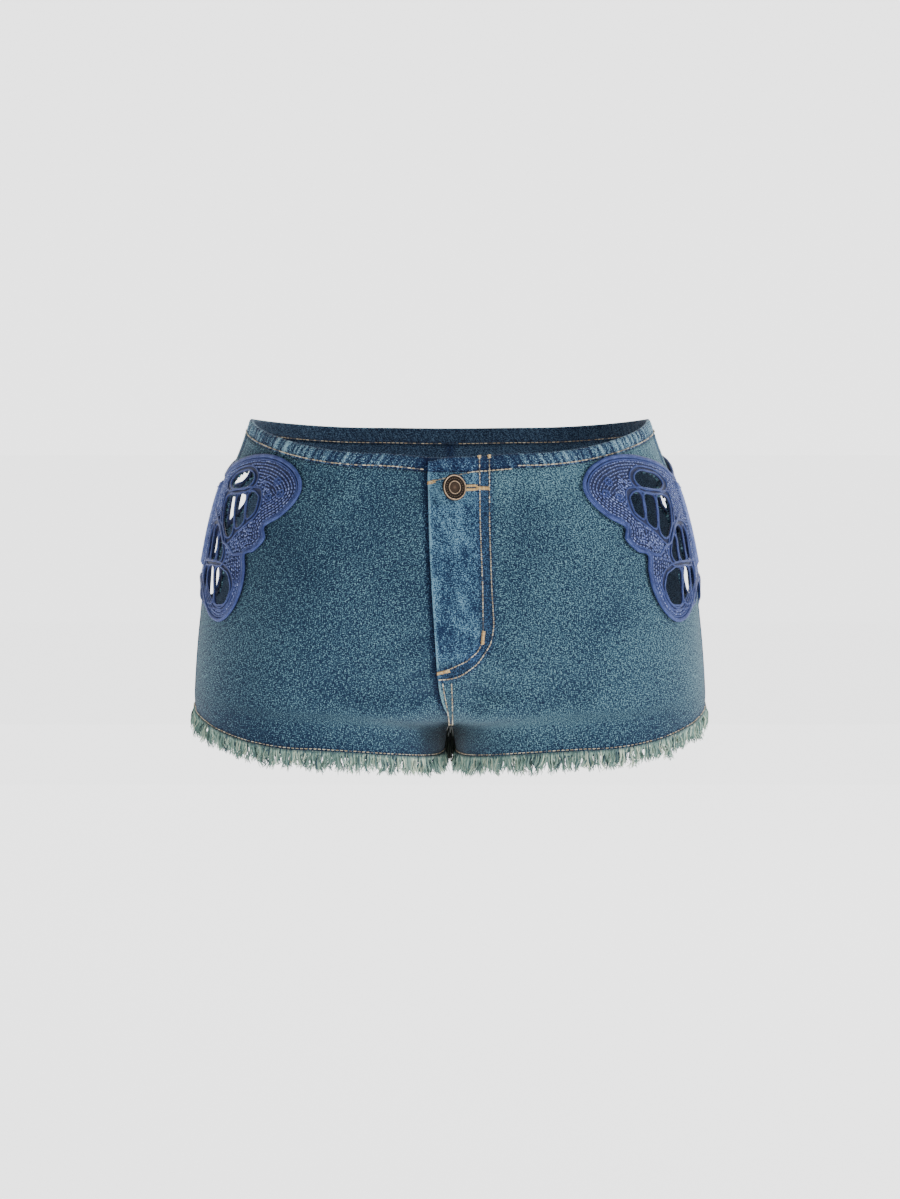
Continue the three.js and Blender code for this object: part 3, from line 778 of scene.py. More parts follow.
DENIM_OPENINGS = [
    [(23, 44), (32, 37), (48, 34), (57, 37), (60, 43), (52, 48.5), (34, 49)],
    [
        (26, 53), (34, 51.5), (62, 48), (69.5, 52), (71, 63), (65, 69), (57.5, 75), (50, 82.5),
        (45, 82), (34, 71),
    ],
    [(12, 77), (17, 72), (29, 72), (39, 78), (48, 91), (46, 98), (32, 98), (17, 97)],
    [
        (13, 101.5), (20, 99.5), (44, 99.5), (58, 104), (64, 114), (60, 126), (48, 127), (30, 126),
        (19, 120),
    ],
]
PANEL_ROWS = 114
PANEL_COLUMNS = 150


def panel(name, side, face):
    v = np.linspace(V_CASING + 0.001, V_HEM, PANEL_ROWS)[:, None]
    edge = seam_at(v, face) - face * 0.12
    if face > 0:
        edge = edge + fly_edge(v, "lap" if side > 0 else "under")
    start = face * 0.12
    t = 1 - (1 - np.linspace(0, 1, PANEL_COLUMNS)) ** (1.3 if face > 0 else 1.1)
    u = start + (edge - start) * t
    v = np.broadcast_to(v, u.shape)
    raised = lap_lift(side, u, v) if face > 0 else np.zeros_like(u)
    middle_u = (u[1:, 1:] + u[:-1, :-1]) / 2
    middle_v = (v[1:, 1:] + v[:-1, :-1]) / 2
    middle_drop = TOP_Z - shell(middle_u, middle_v)[..., 2]
    flat_place = np.stack([np.abs(middle_u - askew(side, middle_drop)), middle_drop], -1)
    keep = np.ones(middle_u.shape, bool)
    for outline in DENIM_OPENINGS:
        keep &= ~inside(flat_place, outline)
    if face < 0:
        # the grid runs the other way round the body, so its columns are turned to keep it facing out
        u, v, raised, keep = u[:, ::-1], v[:, ::-1], raised[:, ::-1], keep[:, ::-1]
    piece = cloth_wall(name + "_denim", side, u, v, raised, raised - CLOTH, keep, [name])
    for material in (BODY_DENIM, SHADED_INSIDE_DENIM):
        piece.data.materials.append(material)
    return piece


panels = {
    f"{word}_{hand}": panel(f"{word}_{hand}", side, face)
    for word, face in (("front", 1), ("back", -1))
    for hand, side in (("left", 1), ("right", -1))
}

# ---- The waist casing ----
# The top edge of the denim turned in over narrow elastic and stitched down, so that it gathers into
# uneven upright ridges, flatter at the fly. It is a padded-looking band about 10 mm deep.
CASING_PROFILE = columns(
    "level height puff",
    (1.0, 0.15, 0.25),
    (0.85, 0.45, 0.7),
    (0.6, 0.75, 1),
    (0.35, 0.8, 1),
    (0.14, 0.55, 0.8),
    (0.03, 0.1, 0.5),
    (0.0, -0.8, 0.3),
    (0.02, -1.7, 0.1),
    (0.14, -2.3, -0.4),
    (0.4, -2.5, -0.6),
    (0.75, -2.5, -0.6),
    (1.0, -2.3, -0.2),
)
CASING_INWARD = 7  # rows of the profile before it turns in
WAIST_FRONT, WAIST_BACK = (float(seam_at(V_CASING / 2, face)) for face in (1, -1))


def casing(name, side, u_from, u_to, step, sink, lap=None, dip=0.0):
    """One length of the band, as a closed section swept along the waist. A front length ends where its
    panel does, by the fly's column `lap`; `dip` lowers its top edge at the flap's corner."""
    level, height, puff = (CASING_PROFILE[k][:, None] for k in ("level", "height", "puff"))
    count = int(abs(u_to - u_from) / step)
    u = np.linspace(u_from, u_to, count)[None, :]
    top = dip * smoothstep(u - u_to, -16, 1)
    v = top + level * (V_CASING - 0.0005 - top)
    u, v = np.broadcast_arrays(u, v)
    if lap:
        u = u + (seam_at(v, 1) + fly_edge(v, lap) - 0.2 - u_to) * smoothstep(u - u_to, -30, 0)
    # the far half of the back length gathers as the near half does
    ridge = gather_at(side, np.where(u < WAIST_BACK, 2 * WAIST_BACK - u, u), v)
    height = height + puff * 1.5 * (ridge - 0.35) + sink(u, v)
    points = shell(u, v) + directions(u, v)[2] * height[..., None]
    rows, across = u.shape
    faces = []
    for j in range(rows):
        below = (j + 1) % rows
        for i in range(across - 1):
            faces.append((j * across + i, j * across + i + 1, below * across + i + 1, below * across + i))
    faces.append([j * across for j in range(rows)])
    faces.append([j * across + across - 1 for j in range(rows)][::-1])
    if side > 0:
        faces = [face[::-1] for face in faces]
    piece = new_piece(name + "_cloth", (points * (side, 1, 1) * MM).reshape(-1, 3), faces, name)
    set_uv(piece, "cloth", np.stack([u, -170 * v], axis=-1).reshape(-1, 2) * MM)
    at_foot = 10 * (1 - level) + 0 * u
    from_flap = seam_at(v, 1) - u - fly_edge(v)
    # on the right band, painted shadow beside the flap's edge; at the band's foot, the deep dye of the seam
    near = np.minimum(at_foot * 0.9 + 2, np.abs(from_flap) if side < 0 else 99)
    # paler on the gathers' tops and darker between them: partly wear, partly painted highlight and shade
    wear_and_shading = np.stack([near * MM * 10, 0.5 + 0.46 * (ridge - 0.4)], axis=-1)
    set_uv(piece, "wear_and_shading", wear_and_shading.reshape(-1, 2))
    on_flap = smoothstep(u - seam_at(v, 1), -23, -17) * (side > 0)
    at_end = (dip > 0) * smoothstep(u - seam_at(v, 1) - fly_edge(v), -2.4, -0.6)
    tone = np.stack([on_flap * 0.5, 0.5 + on_flap * 0.18 + at_end * 0.2], axis=-1)
    set_uv(piece, "tone", tone.reshape(-1, 2))
    for material in (CASING_DENIM, SHADED_INSIDE_DENIM):
        piece.data.materials.append(material)
    inward = np.zeros(len(faces), np.int32)
    inward[CASING_INWARD * (across - 1) : rows * (across - 1)] = 1
    piece.data.polygons.foreach_set("material_index", inward)
    return piece


def left_casing_lift(u, v):
    return lap_lift(1, u, v)


def right_casing_sink(u, v):
    """The right band tucks in behind the left one, which is two cloths thick."""
    return -CLOTH * smoothstep(u - seam_at(v, 1) + fly_edge(v), -LAP_RAMP, 0)


def no_shift(u, v):
    return np.zeros_like(u)


casings = [
    casing("waist_casing_front_left", 1, 0.2, WAIST_FRONT + 14.8, 0.8, left_casing_lift, "lap", 0.02),
    casing("waist_casing_front_right", -1, 0.2, WAIST_FRONT + 14.8, 0.8, right_casing_sink, "under"),
    casing("waist_casing_back", 1, 2 * WAIST_BACK, -0.2, 0.8, no_shift),
]

# ---- The stitching ----
# Tan topstitching thread, twisted, about 0.8 mm thick: one row under the casing, one above the frayed
# hem, the fly's double row that turns in at its foot, and double rows down the centre seams.
THREAD = 0.46
STITCH_POINTS = 6
STITCH_TAPER = np.array([0.5, 0.95, 1, 1, 0.95, 0.5])


def sweep_tubes(paths, radii, sides, axis_hint):
    """Tubes along many paths at once: paths (n, k, 3), radii (n, k). Points and faces."""
    n, k = paths.shape[:2]
    along = unit(np.gradient(paths, axis=1))
    first = unit(np.cross(along, axis_hint))
    second = np.cross(along, first)
    angle = np.arange(sides) * 2 * math.pi / sides
    ring = first[:, :, None] * np.cos(angle)[:, None] + second[:, :, None] * np.sin(angle)[:, None]
    points = paths[:, :, None] + ring * radii[:, :, None, None]
    index = np.arange(n * k * sides).reshape(n, k, sides)
    nxt = np.roll(index, -1, axis=2)
    faces = np.stack([index[:, :-1], nxt[:, :-1], nxt[:, 1:], index[:, 1:]], axis=-1).reshape(-1, 4)
    caps = [index[:, 0, ::-1].tolist(), index[:, -1].tolist()]
    return points.reshape(-1, 3), faces.tolist() + caps[0] + caps[1]


def threads(name, paths, radii, sides, hint, along, share, material, slot, *nodes):
    """Threads on many paths as one piece. Each point is marked with its place along the thread, and each
    thread with its share of the material's range of colours."""
    points, faces = sweep_tubes(paths, np.broadcast_to(radii, paths.shape[:2]), sides, np.array(hint, float))
    piece = new_piece(name, points, faces, *nodes)
    uv = np.zeros((*paths.shape[:2], sides, 2))
    uv[..., 0] = along
    uv[..., 1] = share[:, None, None]
    set_uv(piece, "cloth", uv.reshape(-1, 2))
    piece.data.materials.append(material)
    return piece


def thread_finish(name, dark, tan, pale):
    """Twisted cotton thread, its plies showing as slanting bands."""
    finish = Finish(name, Roughness=0.62, Sheen_Weight=0.2)
    along, share = finish.uv("cloth")
    ply = (along * (2 * math.pi / 0.0011)).wave() * 0.5 + 0.5
    body = finish.mix(share.step(0.0, 0.3), dark, tan)
    colour = finish.mix(share.step(0.3, 0.9), body, pale)
    finish.paint(finish.mix(ply * 0.45, colour, dark))
    finish.bump(ply, 0.0002, 0.7)
    return finish.material


TAN_THREAD = thread_finish("thread_tan", (0.04, 0.045, 0.06), (0.38, 0.29, 0.17), (0.68, 0.6, 0.44))
GOLD_THREAD = thread_finish("thread_golden", (0.09, 0.045, 0.015), (0.4, 0.23, 0.07), (0.66, 0.46, 0.2))


def stitch_row(name, rows, material, length=2.3, gap=0.55, radius=THREAD, height=0.4, hint=(0, 0, 1)):
    """Stitches along rows of (side, u, v) places, each stitch a short tube that dips in at its ends."""
    parts = []
    for side, u, v in rows:
        centre_line = on_cloth(side, u, v)
        far = length_along(centre_line) / MM
        starts = np.arange(0.4, far[-1] - length, length + gap)
        t = starts[:, None] + np.linspace(0, 1, STITCH_POINTS)[None] * length
        at_u, at_v = np.interp(t, far, u), np.interp(t, far, v)
        arch = np.sin(np.linspace(0, math.pi, STITCH_POINTS)) ** 0.6
        parts.append(on_cloth(side, at_u, at_v, height + (arch - 0.75) * radius * 1.4))
    paths = np.concatenate(parts)
    along = (np.linspace(0, length, STITCH_POINTS)[None, :, None] + np.arange(6) * 0.18) * MM
    share = chance.random(len(paths))
    return threads(name, paths, STITCH_TAPER * radius * MM, 6, hint, along, share, material, "denim")


def straight_row(side, u_from, u_to, v_from, v_to, count=300):
    t = np.linspace(0, 1, count)
    return side, u_from + (u_to - u_from) * t, v_from + (v_to - v_from) * t


def fly_place(side, x, drop):
    """(side, u, v) along a row on the fly, from sideways distances and drops, smoothed to a curve."""
    x, drop = np.array(x, float), np.array(drop, float)
    t = np.concatenate([[0], np.cumsum(np.hypot(np.diff(x), np.diff(drop)))])
    fine = np.linspace(0, t[-1], 260)
    x, drop = np.interp(fine, t, x), np.interp(fine, t, drop)
    kernel = np.hanning(21) / np.hanning(21).sum()
    padded = [np.pad(a, 10, mode="reflect", reflect_type="odd") for a in (x, drop)]
    x, drop = (np.convolve(a, kernel, "valid") for a in padded)
    v = level_at(seam_at(0.4, 1) - x, drop)
    for _ in range(3):
        v = level_at(seam_at(v, 1) - side * x, drop)
    return side, seam_at(v, 1) - side * x, v


waist_rows = [
    straight_row(1, 2, WAIST_FRONT - 42, 0.053, 0.053),
    straight_row(-1, 2, WAIST_FRONT - 14, 0.053, 0.053),
    straight_row(1, -2, WAIST_BACK, 0.053, 0.053),
    straight_row(-1, -2, WAIST_BACK, 0.053, 0.053),
]
stitch_row("waist_stitching", waist_rows, TAN_THREAD, height=0.3)
flap_row = fly_place(1, (42, 30, 14, 2, -14), (32.5, 33.4, 34.8, 37.5, 41.5))
stitch_row("waist_stitching_flap", [flap_row], TAN_THREAD, height=0.8)


def inner_row():
    """The casing's row of stitches as it shows inside the back of the waist."""
    parts = []
    for side in (1, -1):
        u = np.linspace(-3, WAIST_BACK + 1, 400)
        v = np.full_like(u, 0.056)
        place = shell(u, v) - directions(u, v)[2] * 2.6
        line = place * (side, 1, 1) * MM
        far = length_along(line) / MM
        starts = np.arange(0.5, far[-1] - 2.2, 3.1)
        t = starts[:, None] + np.linspace(0, 1, STITCH_POINTS)[None] * 2.5
        parts.append(np.stack([np.interp(t, far, line[:, k]) for k in range(3)], axis=-1))
    paths = np.concatenate(parts)
    radii = STITCH_TAPER * 0.7 * THREAD * MM
    along = np.linspace(0, 2.7, STITCH_POINTS)[None, :, None] * MM
    share = chance.uniform(0, 0.75, len(paths))
    threads("waist_stitching_inside", paths, radii, 6, (0, 0, 1), along, share, TAN_THREAD, "denim")


inner_row()

fly_rows = [fly_place(1, *zip(*route)) for route in (J_INNER, J_FOOT, J_OUTER)]
stitch_row("fly_stitching", fly_rows, TAN_THREAD, 2.1, 0.6)

fly_foot = float(level_at(seam_at(0.7, 1), np.array(175.0)))
seam_v = np.linspace(fly_foot, V_CROTCH - 0.02, 160)
seat_v = np.linspace(0.065, V_CROTCH - 0.02, 300)
centre_rows = [
    (1, seam_at(seam_v, 1) + np.interp(seam_v, [fly_foot, 0.9], [5.2, 1.4]), seam_v),
    (1, seam_at(seam_v, 1) - np.interp(seam_v, [fly_foot, 0.9], [1.2, 4.0]), seam_v),
    (1, seam_at(seat_v, -1) + 1.6, seat_v),
    (1, seam_at(seat_v, -1) + 7, seat_v),
]
stitch_row("centre_stitching", centre_rows, TAN_THREAD, 2.4, 0.7, hint=(1, 0, 0))

hem_rows = []
for side in (1, -1):
    for face in (1, -1):
        u = np.linspace(face * 0.5, float(seam_at(0.985, face)) - face, 500)
        hem_rows.append((side, u, np.full_like(u, 0.983)))
stitch_row("hem_stitching", hem_rows, TAN_THREAD, 2.1, 0.9, THREAD * 0.8, 0.2)


def bar_tack(name, x, drop, length, lean, wide=2.2):
    """A dense zigzag bar of golden thread: many short threads side by side across its length."""
    count = int(length / 0.42)
    t = np.linspace(-0.5, 0.5, count) * length
    cosine, sine = math.cos(lean), math.sin(lean)
    paths = []
    for k, along in enumerate(t):
        across = np.linspace(-0.5, 0.5, 6) * wide * chance.uniform(0.85, 1.15)
        skew = (0.25 if k % 2 else -0.25) * across
        px = x + (along + skew) * cosine - across * sine
        pd = drop + (along + skew) * sine + across * cosine
        v = level_at(seam_at(0.3, 1) - px, pd)
        v = level_at(seam_at(v, 1) - px, pd)
        arch = np.sin(np.linspace(0, math.pi, 6))
        paths.append(on_cloth(1, seam_at(v, 1) - px, v, 0.1 + 0.75 * arch))
    radii = np.array([0.6, 1, 1, 1, 1, 0.6]) * 0.36 * MM
    along_bar = np.linspace(0, wide, 6)[None, :, None] * MM
    share = chance.uniform(0.3, 1, count)
    threads(name, np.array(paths), radii, 5, (0, 1, 0), along_bar, share, GOLD_THREAD, "denim")


bar_tack("bar_tack_fly_side", 22.1, 144.5, 8.5, math.radians(95))
bar_tack("bar_tack_flap_corner", -12.4, 41.4, 4.5, math.radians(-16))
bar_tack("bar_tack_fly_foot", -4.6, 167.6, 8.5, math.radians(-12))
bar_tack("bar_tack_waist_inner", 19.3, 23.5, 3.6, math.radians(85))
bar_tack("bar_tack_waist_outer", 26.3, 23.3, 3.6, math.radians(85))

# ---- The frayed hems ----
# The leg openings are left raw and combed out: pale weft threads, curly and in uneven locks, hang
# 9 to 14 mm below the last stitched row.
STRANDS = 3600
STRAND_POINTS = 8


def fringe(name, side):
    dice = np.random.default_rng(31 + side)
    front_end, back_end = float(seam_at(V_HEM, 1)), float(seam_at(V_HEM, -1))
    u = np.sort(dice.uniform(back_end, front_end, STRANDS))
    v = np.full(STRANDS, V_HEM - 0.013)
    root = on_cloth(side, u, v)
    around, down, out = (d * (side, 1, 1) for d in directions(u, v))
    # a lock is a stretch of strands that lean and curl together
    lock_edges = np.cumsum(dice.uniform(1.6, 5.5, 400)) + back_end
    lock = np.searchsorted(lock_edges, u)

    def per_lock(values, spread):
        return values[lock] + dice.normal(0, spread, STRANDS)

    lean = per_lock(dice.normal(0, 0.09, 420), 0.06)
    reach = dice.uniform(12.2, 15.4, 420)[lock] * dice.uniform(0.62, 1.05, STRANDS)
    flare = per_lock(dice.normal(0.06, 0.1, 420), 0.07)
    curl = per_lock(dice.uniform(0.5, 1.5, 420), 0.15)
    phase = per_lock(dice.uniform(0, 2 * math.pi, 420), 0.45)
    turns = per_lock(dice.uniform(0.35, 0.75, 420), 0.05)
    t = np.linspace(0, 1, STRAND_POINTS)[None]
    s = t * reach[:, None]
    turned_by = phase[:, None] + s * turns[:, None]
    swing = curl[:, None] * np.sin(turned_by) * t**0.6 + lean[:, None] * s * (0.4 + 0.6 * t)
    # the tips of many strands hook sideways
    hook = dice.normal(0, 1.1, STRANDS)[:, None] * smoothstep(t, 0.7, 1.0)
    free = smoothstep(t, 0.05, 0.35)
    stand = dice.uniform(0.2, 0.8, STRANDS)[:, None] * (1 - free)
    stand = stand + dice.uniform(-1.2, 0.9, STRANDS)[:, None] * free
    stand = stand + flare[:, None] * s + 0.6 * curl[:, None] * np.cos(turned_by) * free
    drop = s * (1 - 0.05 * smoothstep(t, 0.7, 1.0) * np.abs(hook))
    paths = root[:, None] + MM * (
        down[:, None] * drop[..., None]
        + around[:, None] * (swing + hook)[..., None]
        + out[:, None] * stand[..., None]
    )
    taper = np.interp(np.linspace(0, 1, STRAND_POINTS), [0, 0.7, 1], [1, 0.95, 0.4])
    thick = dice.uniform(0.28, 0.52, STRANDS)[:, None] * taper * MM
    finish = Finish("frayed_" + name, Roughness=0.9, Sheen_Weight=0.15)
    along, share = finish.uv("cloth")
    shade = finish.mix(share.step(0.0, 0.3), (0.014, 0.042, 0.06), (0.1, 0.185, 0.165))
    shade = finish.mix(share.step(0.3, 0.75), shade, (0.25, 0.37, 0.3))
    tint = finish.mix(share.step(0.75, 1.0), shade, (0.52, 0.6, 0.46))
    finish.paint(finish.mix((1 - along.step(0.0, 0.2)) * 0.6, tint, (0.03, 0.075, 0.1)))
    return threads(
        name + "_threads", paths, thick, 3, (0.3, 0.9, 0.2), t[..., None], dice.random(STRANDS),
        finish.material, "frayed_edge", name,
    )


fringes = {side: fringe(name, side) for name, side in (("fringe_left", 1), ("fringe_right", -1))}

# ---- The threads in the crotch gap ----
# Between the legs the inseams are raw too: threads of the back hem fill the narrow gap, coloured near-black
# as painted shade, with a few pale ends where the centre seams finish.
SHADED_ENDS = ((0.004, 0.007, 0.008), (0.05, 0.07, 0.05))
PALE_ENDS = ((0.2, 0.22, 0.22), (0.75, 0.76, 0.74))


def crotch_threads(name, count, spread, depth, reach, radius, colours, seed):
    dice = np.random.default_rng(seed)
    top = shell(np.array(0.0) + seam_at(V_CROTCH - 0.012, 1), np.array(V_CROTCH - 0.012))
    bounds = ((-spread, spread), depth, (-2, 1.5))
    start = np.stack([dice.uniform(*limits, count) for limits in bounds], axis=1)
    start[:, 2] += top[2]
    t = np.linspace(0, 1, 7)[None]
    s = t * dice.uniform(*reach, count)[:, None]
    bend = dice.uniform(0, 2 * math.pi, count)[:, None] + s * dice.uniform(0.2, 0.5, count)[:, None]
    away = np.stack([0.7 * np.sin(bend) + start[:, :1] * 0.05 * s, 0.7 * np.cos(bend), -s], axis=-1)
    paths = (start[:, None] + away) * MM
    taper = np.interp(np.linspace(0, 1, 7), [0, 0.8, 1], [1, 1, 0.4])
    radii = dice.uniform(0.7, 1.1, count)[:, None] * radius * taper * MM
    finish = Finish(name, Roughness=0.9)
    along, share = finish.uv("cloth")
    finish.paint(finish.mix(share * (along * 0.6 + 0.4), *colours))
    return threads(
        name, paths, radii, 4, (1, 0.2, 0), t[..., None], dice.random(count), finish.material, "frayed_edge"
    )


gap_threads = [
    # near-black threads: painted shade in the gap
    crotch_threads("crotch_threads_shaded", 300, 3.6, (2, 26), (14, 30), 0.5, SHADED_ENDS, 5),
    crotch_threads("crotch_threads_pale", 22, 3.2, (-5, 0), (3, 9), 0.32, PALE_ENDS, 6),
]

# ---- The butterflies ----
# A machine-embroidered patch sewn over each side seam, two wings on the front and two on the back:
# blue ground filled with seed stitches, periwinkle satin cords round the wings and the open cells.
WING_OUTLINE = [
    (0, 40), (14, 34), (30, 29), (52, 25), (72, 26), (89, 33), (99, 44), (99, 55), (92, 65), (82, 72),
    (85, 80), (79, 88), (71, 91), (74, 102), (74, 115), (68, 128), (57, 136), (44, 135), (31, 127),
    (18, 116), (8, 112), (0, 109),
]
WING_CELLS = [
    (27, 44, 56, 42, 14), (29, 54, 47, 79, 15), (51, 54, 57, 71, 7.5), (62, 51, 66.5, 65, 6.5),
    (16, 76, 20, 94, 6), (27, 76, 33, 95, 7), (38, 80, 45, 96, 7),
    (17, 102, 24, 118, 6.5), (29, 103, 38, 122, 8.5), (43, 103, 57, 122, 12.5),
]
CELL_GROUPS = (0, 1, 1, 1, 2, 2, 2, 3, 3, 3)  # the denim's opening behind each cell
TRIM_LIFT = 0.8
TRIM_THICK = 1.2
LEAF_POINTS = 40
BRIDGE = 1.7  # between the edges of two cells
EDGE_KEPT = 0.9  # of the patch inside the denim's opening


def smooth_loop(points, steps):
    """A closed Catmull-Rom curve through the points."""
    p = np.array(points, float)
    before, after, later = np.roll(p, 1, axis=0), np.roll(p, -1, axis=0), np.roll(p, -2, axis=0)
    t = (np.arange(steps) / steps)[None, :, None]
    a, b, c, d = (q[:, None] for q in (before, p, after, later))
    curve = 2 * b + (c - a) * t + (2 * a - 5 * b + 4 * c - d) * t**2 + (3 * b - a - 3 * c + d) * t**3
    return (0.5 * curve).reshape(-1, 2)


def leaf(cell, count):
    """The drop-shaped edge of an open cell, from its narrow end to its broad end."""
    u0, d0, u1, d1, width = cell
    axis = np.array([u1 - u0, d1 - d0], float)
    size = np.linalg.norm(axis)
    axis /= size
    across = np.array([-axis[1], axis[0]])
    angle = 2 * math.pi * (np.arange(count) + 0.5) / count
    far = (1 - np.cos(angle)) / 2 * size
    wide = np.sin(angle) * (1 - 0.3 * np.cos(angle)) * width / 2
    return np.array([u0, d0]) + far[:, None] * axis + wide[:, None] * across


FULL_OUTLINE = smooth_loop(WING_OUTLINE + [(-u, d) for u, d in WING_OUTLINE[-2:0:-1]], 6)


def on_patch(side, flat_points, height):
    """World places of flat pattern points, `height` mm above the denim."""
    drop = flat_points[..., 1]
    u = flat_points[..., 0] + askew(side, drop)
    v = level_at(u, drop)
    p = shell(u, v) + directions(u, v)[2] * np.asarray(height + 0 * u)[..., None]
    return p * (side, 1, 1) * MM


def patch_base(name, side):
    """The stiffened ground cloth, pierced by the open cells."""
    step = 2.6
    grid = np.stack(np.meshgrid(np.arange(-104, 105, step), np.arange(22, 140, step)), -1).reshape(-1, 2)
    free = inside(grid, FULL_OUTLINE)
    loops = [FULL_OUTLINE, *ALL_CELLS]
    edge_points = np.concatenate(loops)
    for cell in ALL_CELLS:
        free &= ~inside(grid, cell)
    nearest = np.min(np.linalg.norm(grid[free][:, None] - edge_points[None], axis=2), axis=1)
    grid = grid[free][nearest > 1.1]
    points = np.concatenate([edge_points, grid])
    edges = []
    start = 0
    for loop in loops:
        edges += [(start + k, start + (k + 1) % len(loop)) for k in range(len(loop))]
        start += len(loop)
    flat, _, faces, *_ = delaunay_2d_cdt([Vector(p) for p in points.tolist()], edges, [], 0, 1e-6)
    flat = np.array([tuple(p) for p in flat])
    faces = np.array(faces)
    middle = flat[faces].mean(1)
    keep = inside(middle, FULL_OUTLINE)
    for cell in ALL_CELLS:
        keep &= ~inside(middle, cell)
    faces = faces[keep]
    area = np.cross(flat[faces[:, 1]] - flat[faces[:, 0]], flat[faces[:, 2]] - flat[faces[:, 0]])
    faces[area > 0] = faces[area > 0][:, ::-1]
    outer = on_patch(side, flat, TRIM_LIFT + TRIM_THICK)
    inner = on_patch(side, flat, TRIM_LIFT)
    size = len(flat)
    pairs = np.concatenate([faces[:, [k, (k + 1) % 3]] for k in range(3)])
    code = pairs.min(1).astype(np.int64) * size + pairs.max(1)
    _, first, count = np.unique(code, return_index=True, return_counts=True)
    rim = pairs[first[count == 1]]
    sides = np.stack([rim[:, 1], rim[:, 0], rim[:, 0] + size, rim[:, 1] + size], axis=1)
    all_faces = faces.tolist() + (faces[:, ::-1] + size).tolist() + sides.tolist()
    if side > 0:
        all_faces = [face[::-1] for face in all_faces]
    piece = new_piece(name + "_ground", np.concatenate([outer, inner]), all_faces, name)
    set_uv(piece, "cloth", np.concatenate([flat, flat]) * MM)
    piece.data.materials.append(GROUND)
    return piece


def embroidery(name, deep, middle, pale, ribs):
    """Glossy rayon thread laid side by side."""
    finish = Finish(name, Roughness=0.55)
    finish.surface.inputs["Specular IOR Level"].default_value = 0.25
    x, y = finish.uv("cloth")
    fine = finish.noise(x * 1500, y * 1500, 2, 0.6)
    cloud = finish.noise(x * 160, y * 160, 2, 0.5, 5.0)
    rib = (x * (2 * math.pi / ribs)).wave() * 0.5 + 0.5
    tone = ((fine - 0.5) * 1.2 + (cloud - 0.5) * 0.7 + rib * 0.4 + 0.3).clamped()
    colour = finish.mix(tone.step(0.0, 0.55), deep, middle)
    finish.paint(finish.mix(tone.step(0.5, 1.0), colour, pale))
    finish.bump(rib + fine * 0.6, 0.0003, 0.7)
    return finish.material


GROUND, CORD, SEED = (
    embroidery("embroidery_" + name, deep, middle, pale, ribs)
    for name, deep, middle, pale, ribs in (
        ("ground", (0.002, 0.003, 0.016), (0.008, 0.013, 0.05), (0.03, 0.045, 0.12), 0.0009),
        ("cord", (0.004, 0.008, 0.045), (0.024, 0.042, 0.16), (0.12, 0.17, 0.4), 0.00075),
        ("seed", (0.015, 0.024, 0.1), (0.11, 0.15, 0.37), (0.42, 0.49, 0.8), 0.0008),
    )
)


def inset_loop(loop, distance):
    """The loop moved inwards by a distance, by its own normals."""
    along = unit(np.roll(loop, -1, axis=0) - np.roll(loop, 1, axis=0))
    normal = np.stack([-along[:, 1], along[:, 0]], axis=1)
    area = np.sum(loop[:, 0] * np.roll(loop[:, 1], -1) - np.roll(loop[:, 0], -1) * loop[:, 1])
    return loop + normal * distance * np.sign(area)


def even_path(points, step, closed):
    """The path resampled at even steps."""
    points = np.asarray(points, float)
    if closed:
        points = np.concatenate([points, points[:1]])
    far = length_along(points)
    count = max(4, int(round(far[-1] / step)))
    t = np.linspace(0, far[-1], count + 1)
    return np.stack([np.interp(t, far, points[:, k]) for k in range(2)], axis=1), t


def distance_to(points, loop):
    line, _ = even_path(loop, 0.6, True)
    return np.min(np.linalg.norm(points[..., None, :] - line, axis=-1), axis=-1)


def open_cell(k):
    """The edge of one cell, spread over its share of the denim's opening as far as the cords between."""
    own, opening = leaf(WING_CELLS[k], LEAF_POINTS), np.array(DENIM_OPENINGS[CELL_GROUPS[k]], float)
    angle = np.arange(44) * 2 * math.pi / 44
    ray = np.stack([np.cos(angle), np.sin(angle)], axis=1)
    reach = np.arange(0.3, 24, 0.2)
    points = own.mean(0) + reach[None, :, None] * ray[:, None]
    free = inside(points, opening) & (distance_to(points, opening) > EDGE_KEPT)
    depth = np.where(inside(points, own), -1, 1) * distance_to(points, own)
    for j, group in enumerate(CELL_GROUPS):
        if j != k and group == CELL_GROUPS[k]:
            free &= depth + BRIDGE < distance_to(points, leaf(WING_CELLS[j], LEAF_POINTS))
    free[:, -1] = False
    far = reach[np.maximum(np.argmin(free, axis=1) - 1, 0)]
    for _ in range(2):
        far = (np.roll(far, 1) + 2 * far + np.roll(far, -1)) / 4
    return own.mean(0) + far[:, None] * ray


CELL_EDGES = [open_cell(k) for k in range(len(WING_CELLS))]
ALL_CELLS = [cell * (face, 1) for cell in CELL_EDGES for face in (1, -1)]


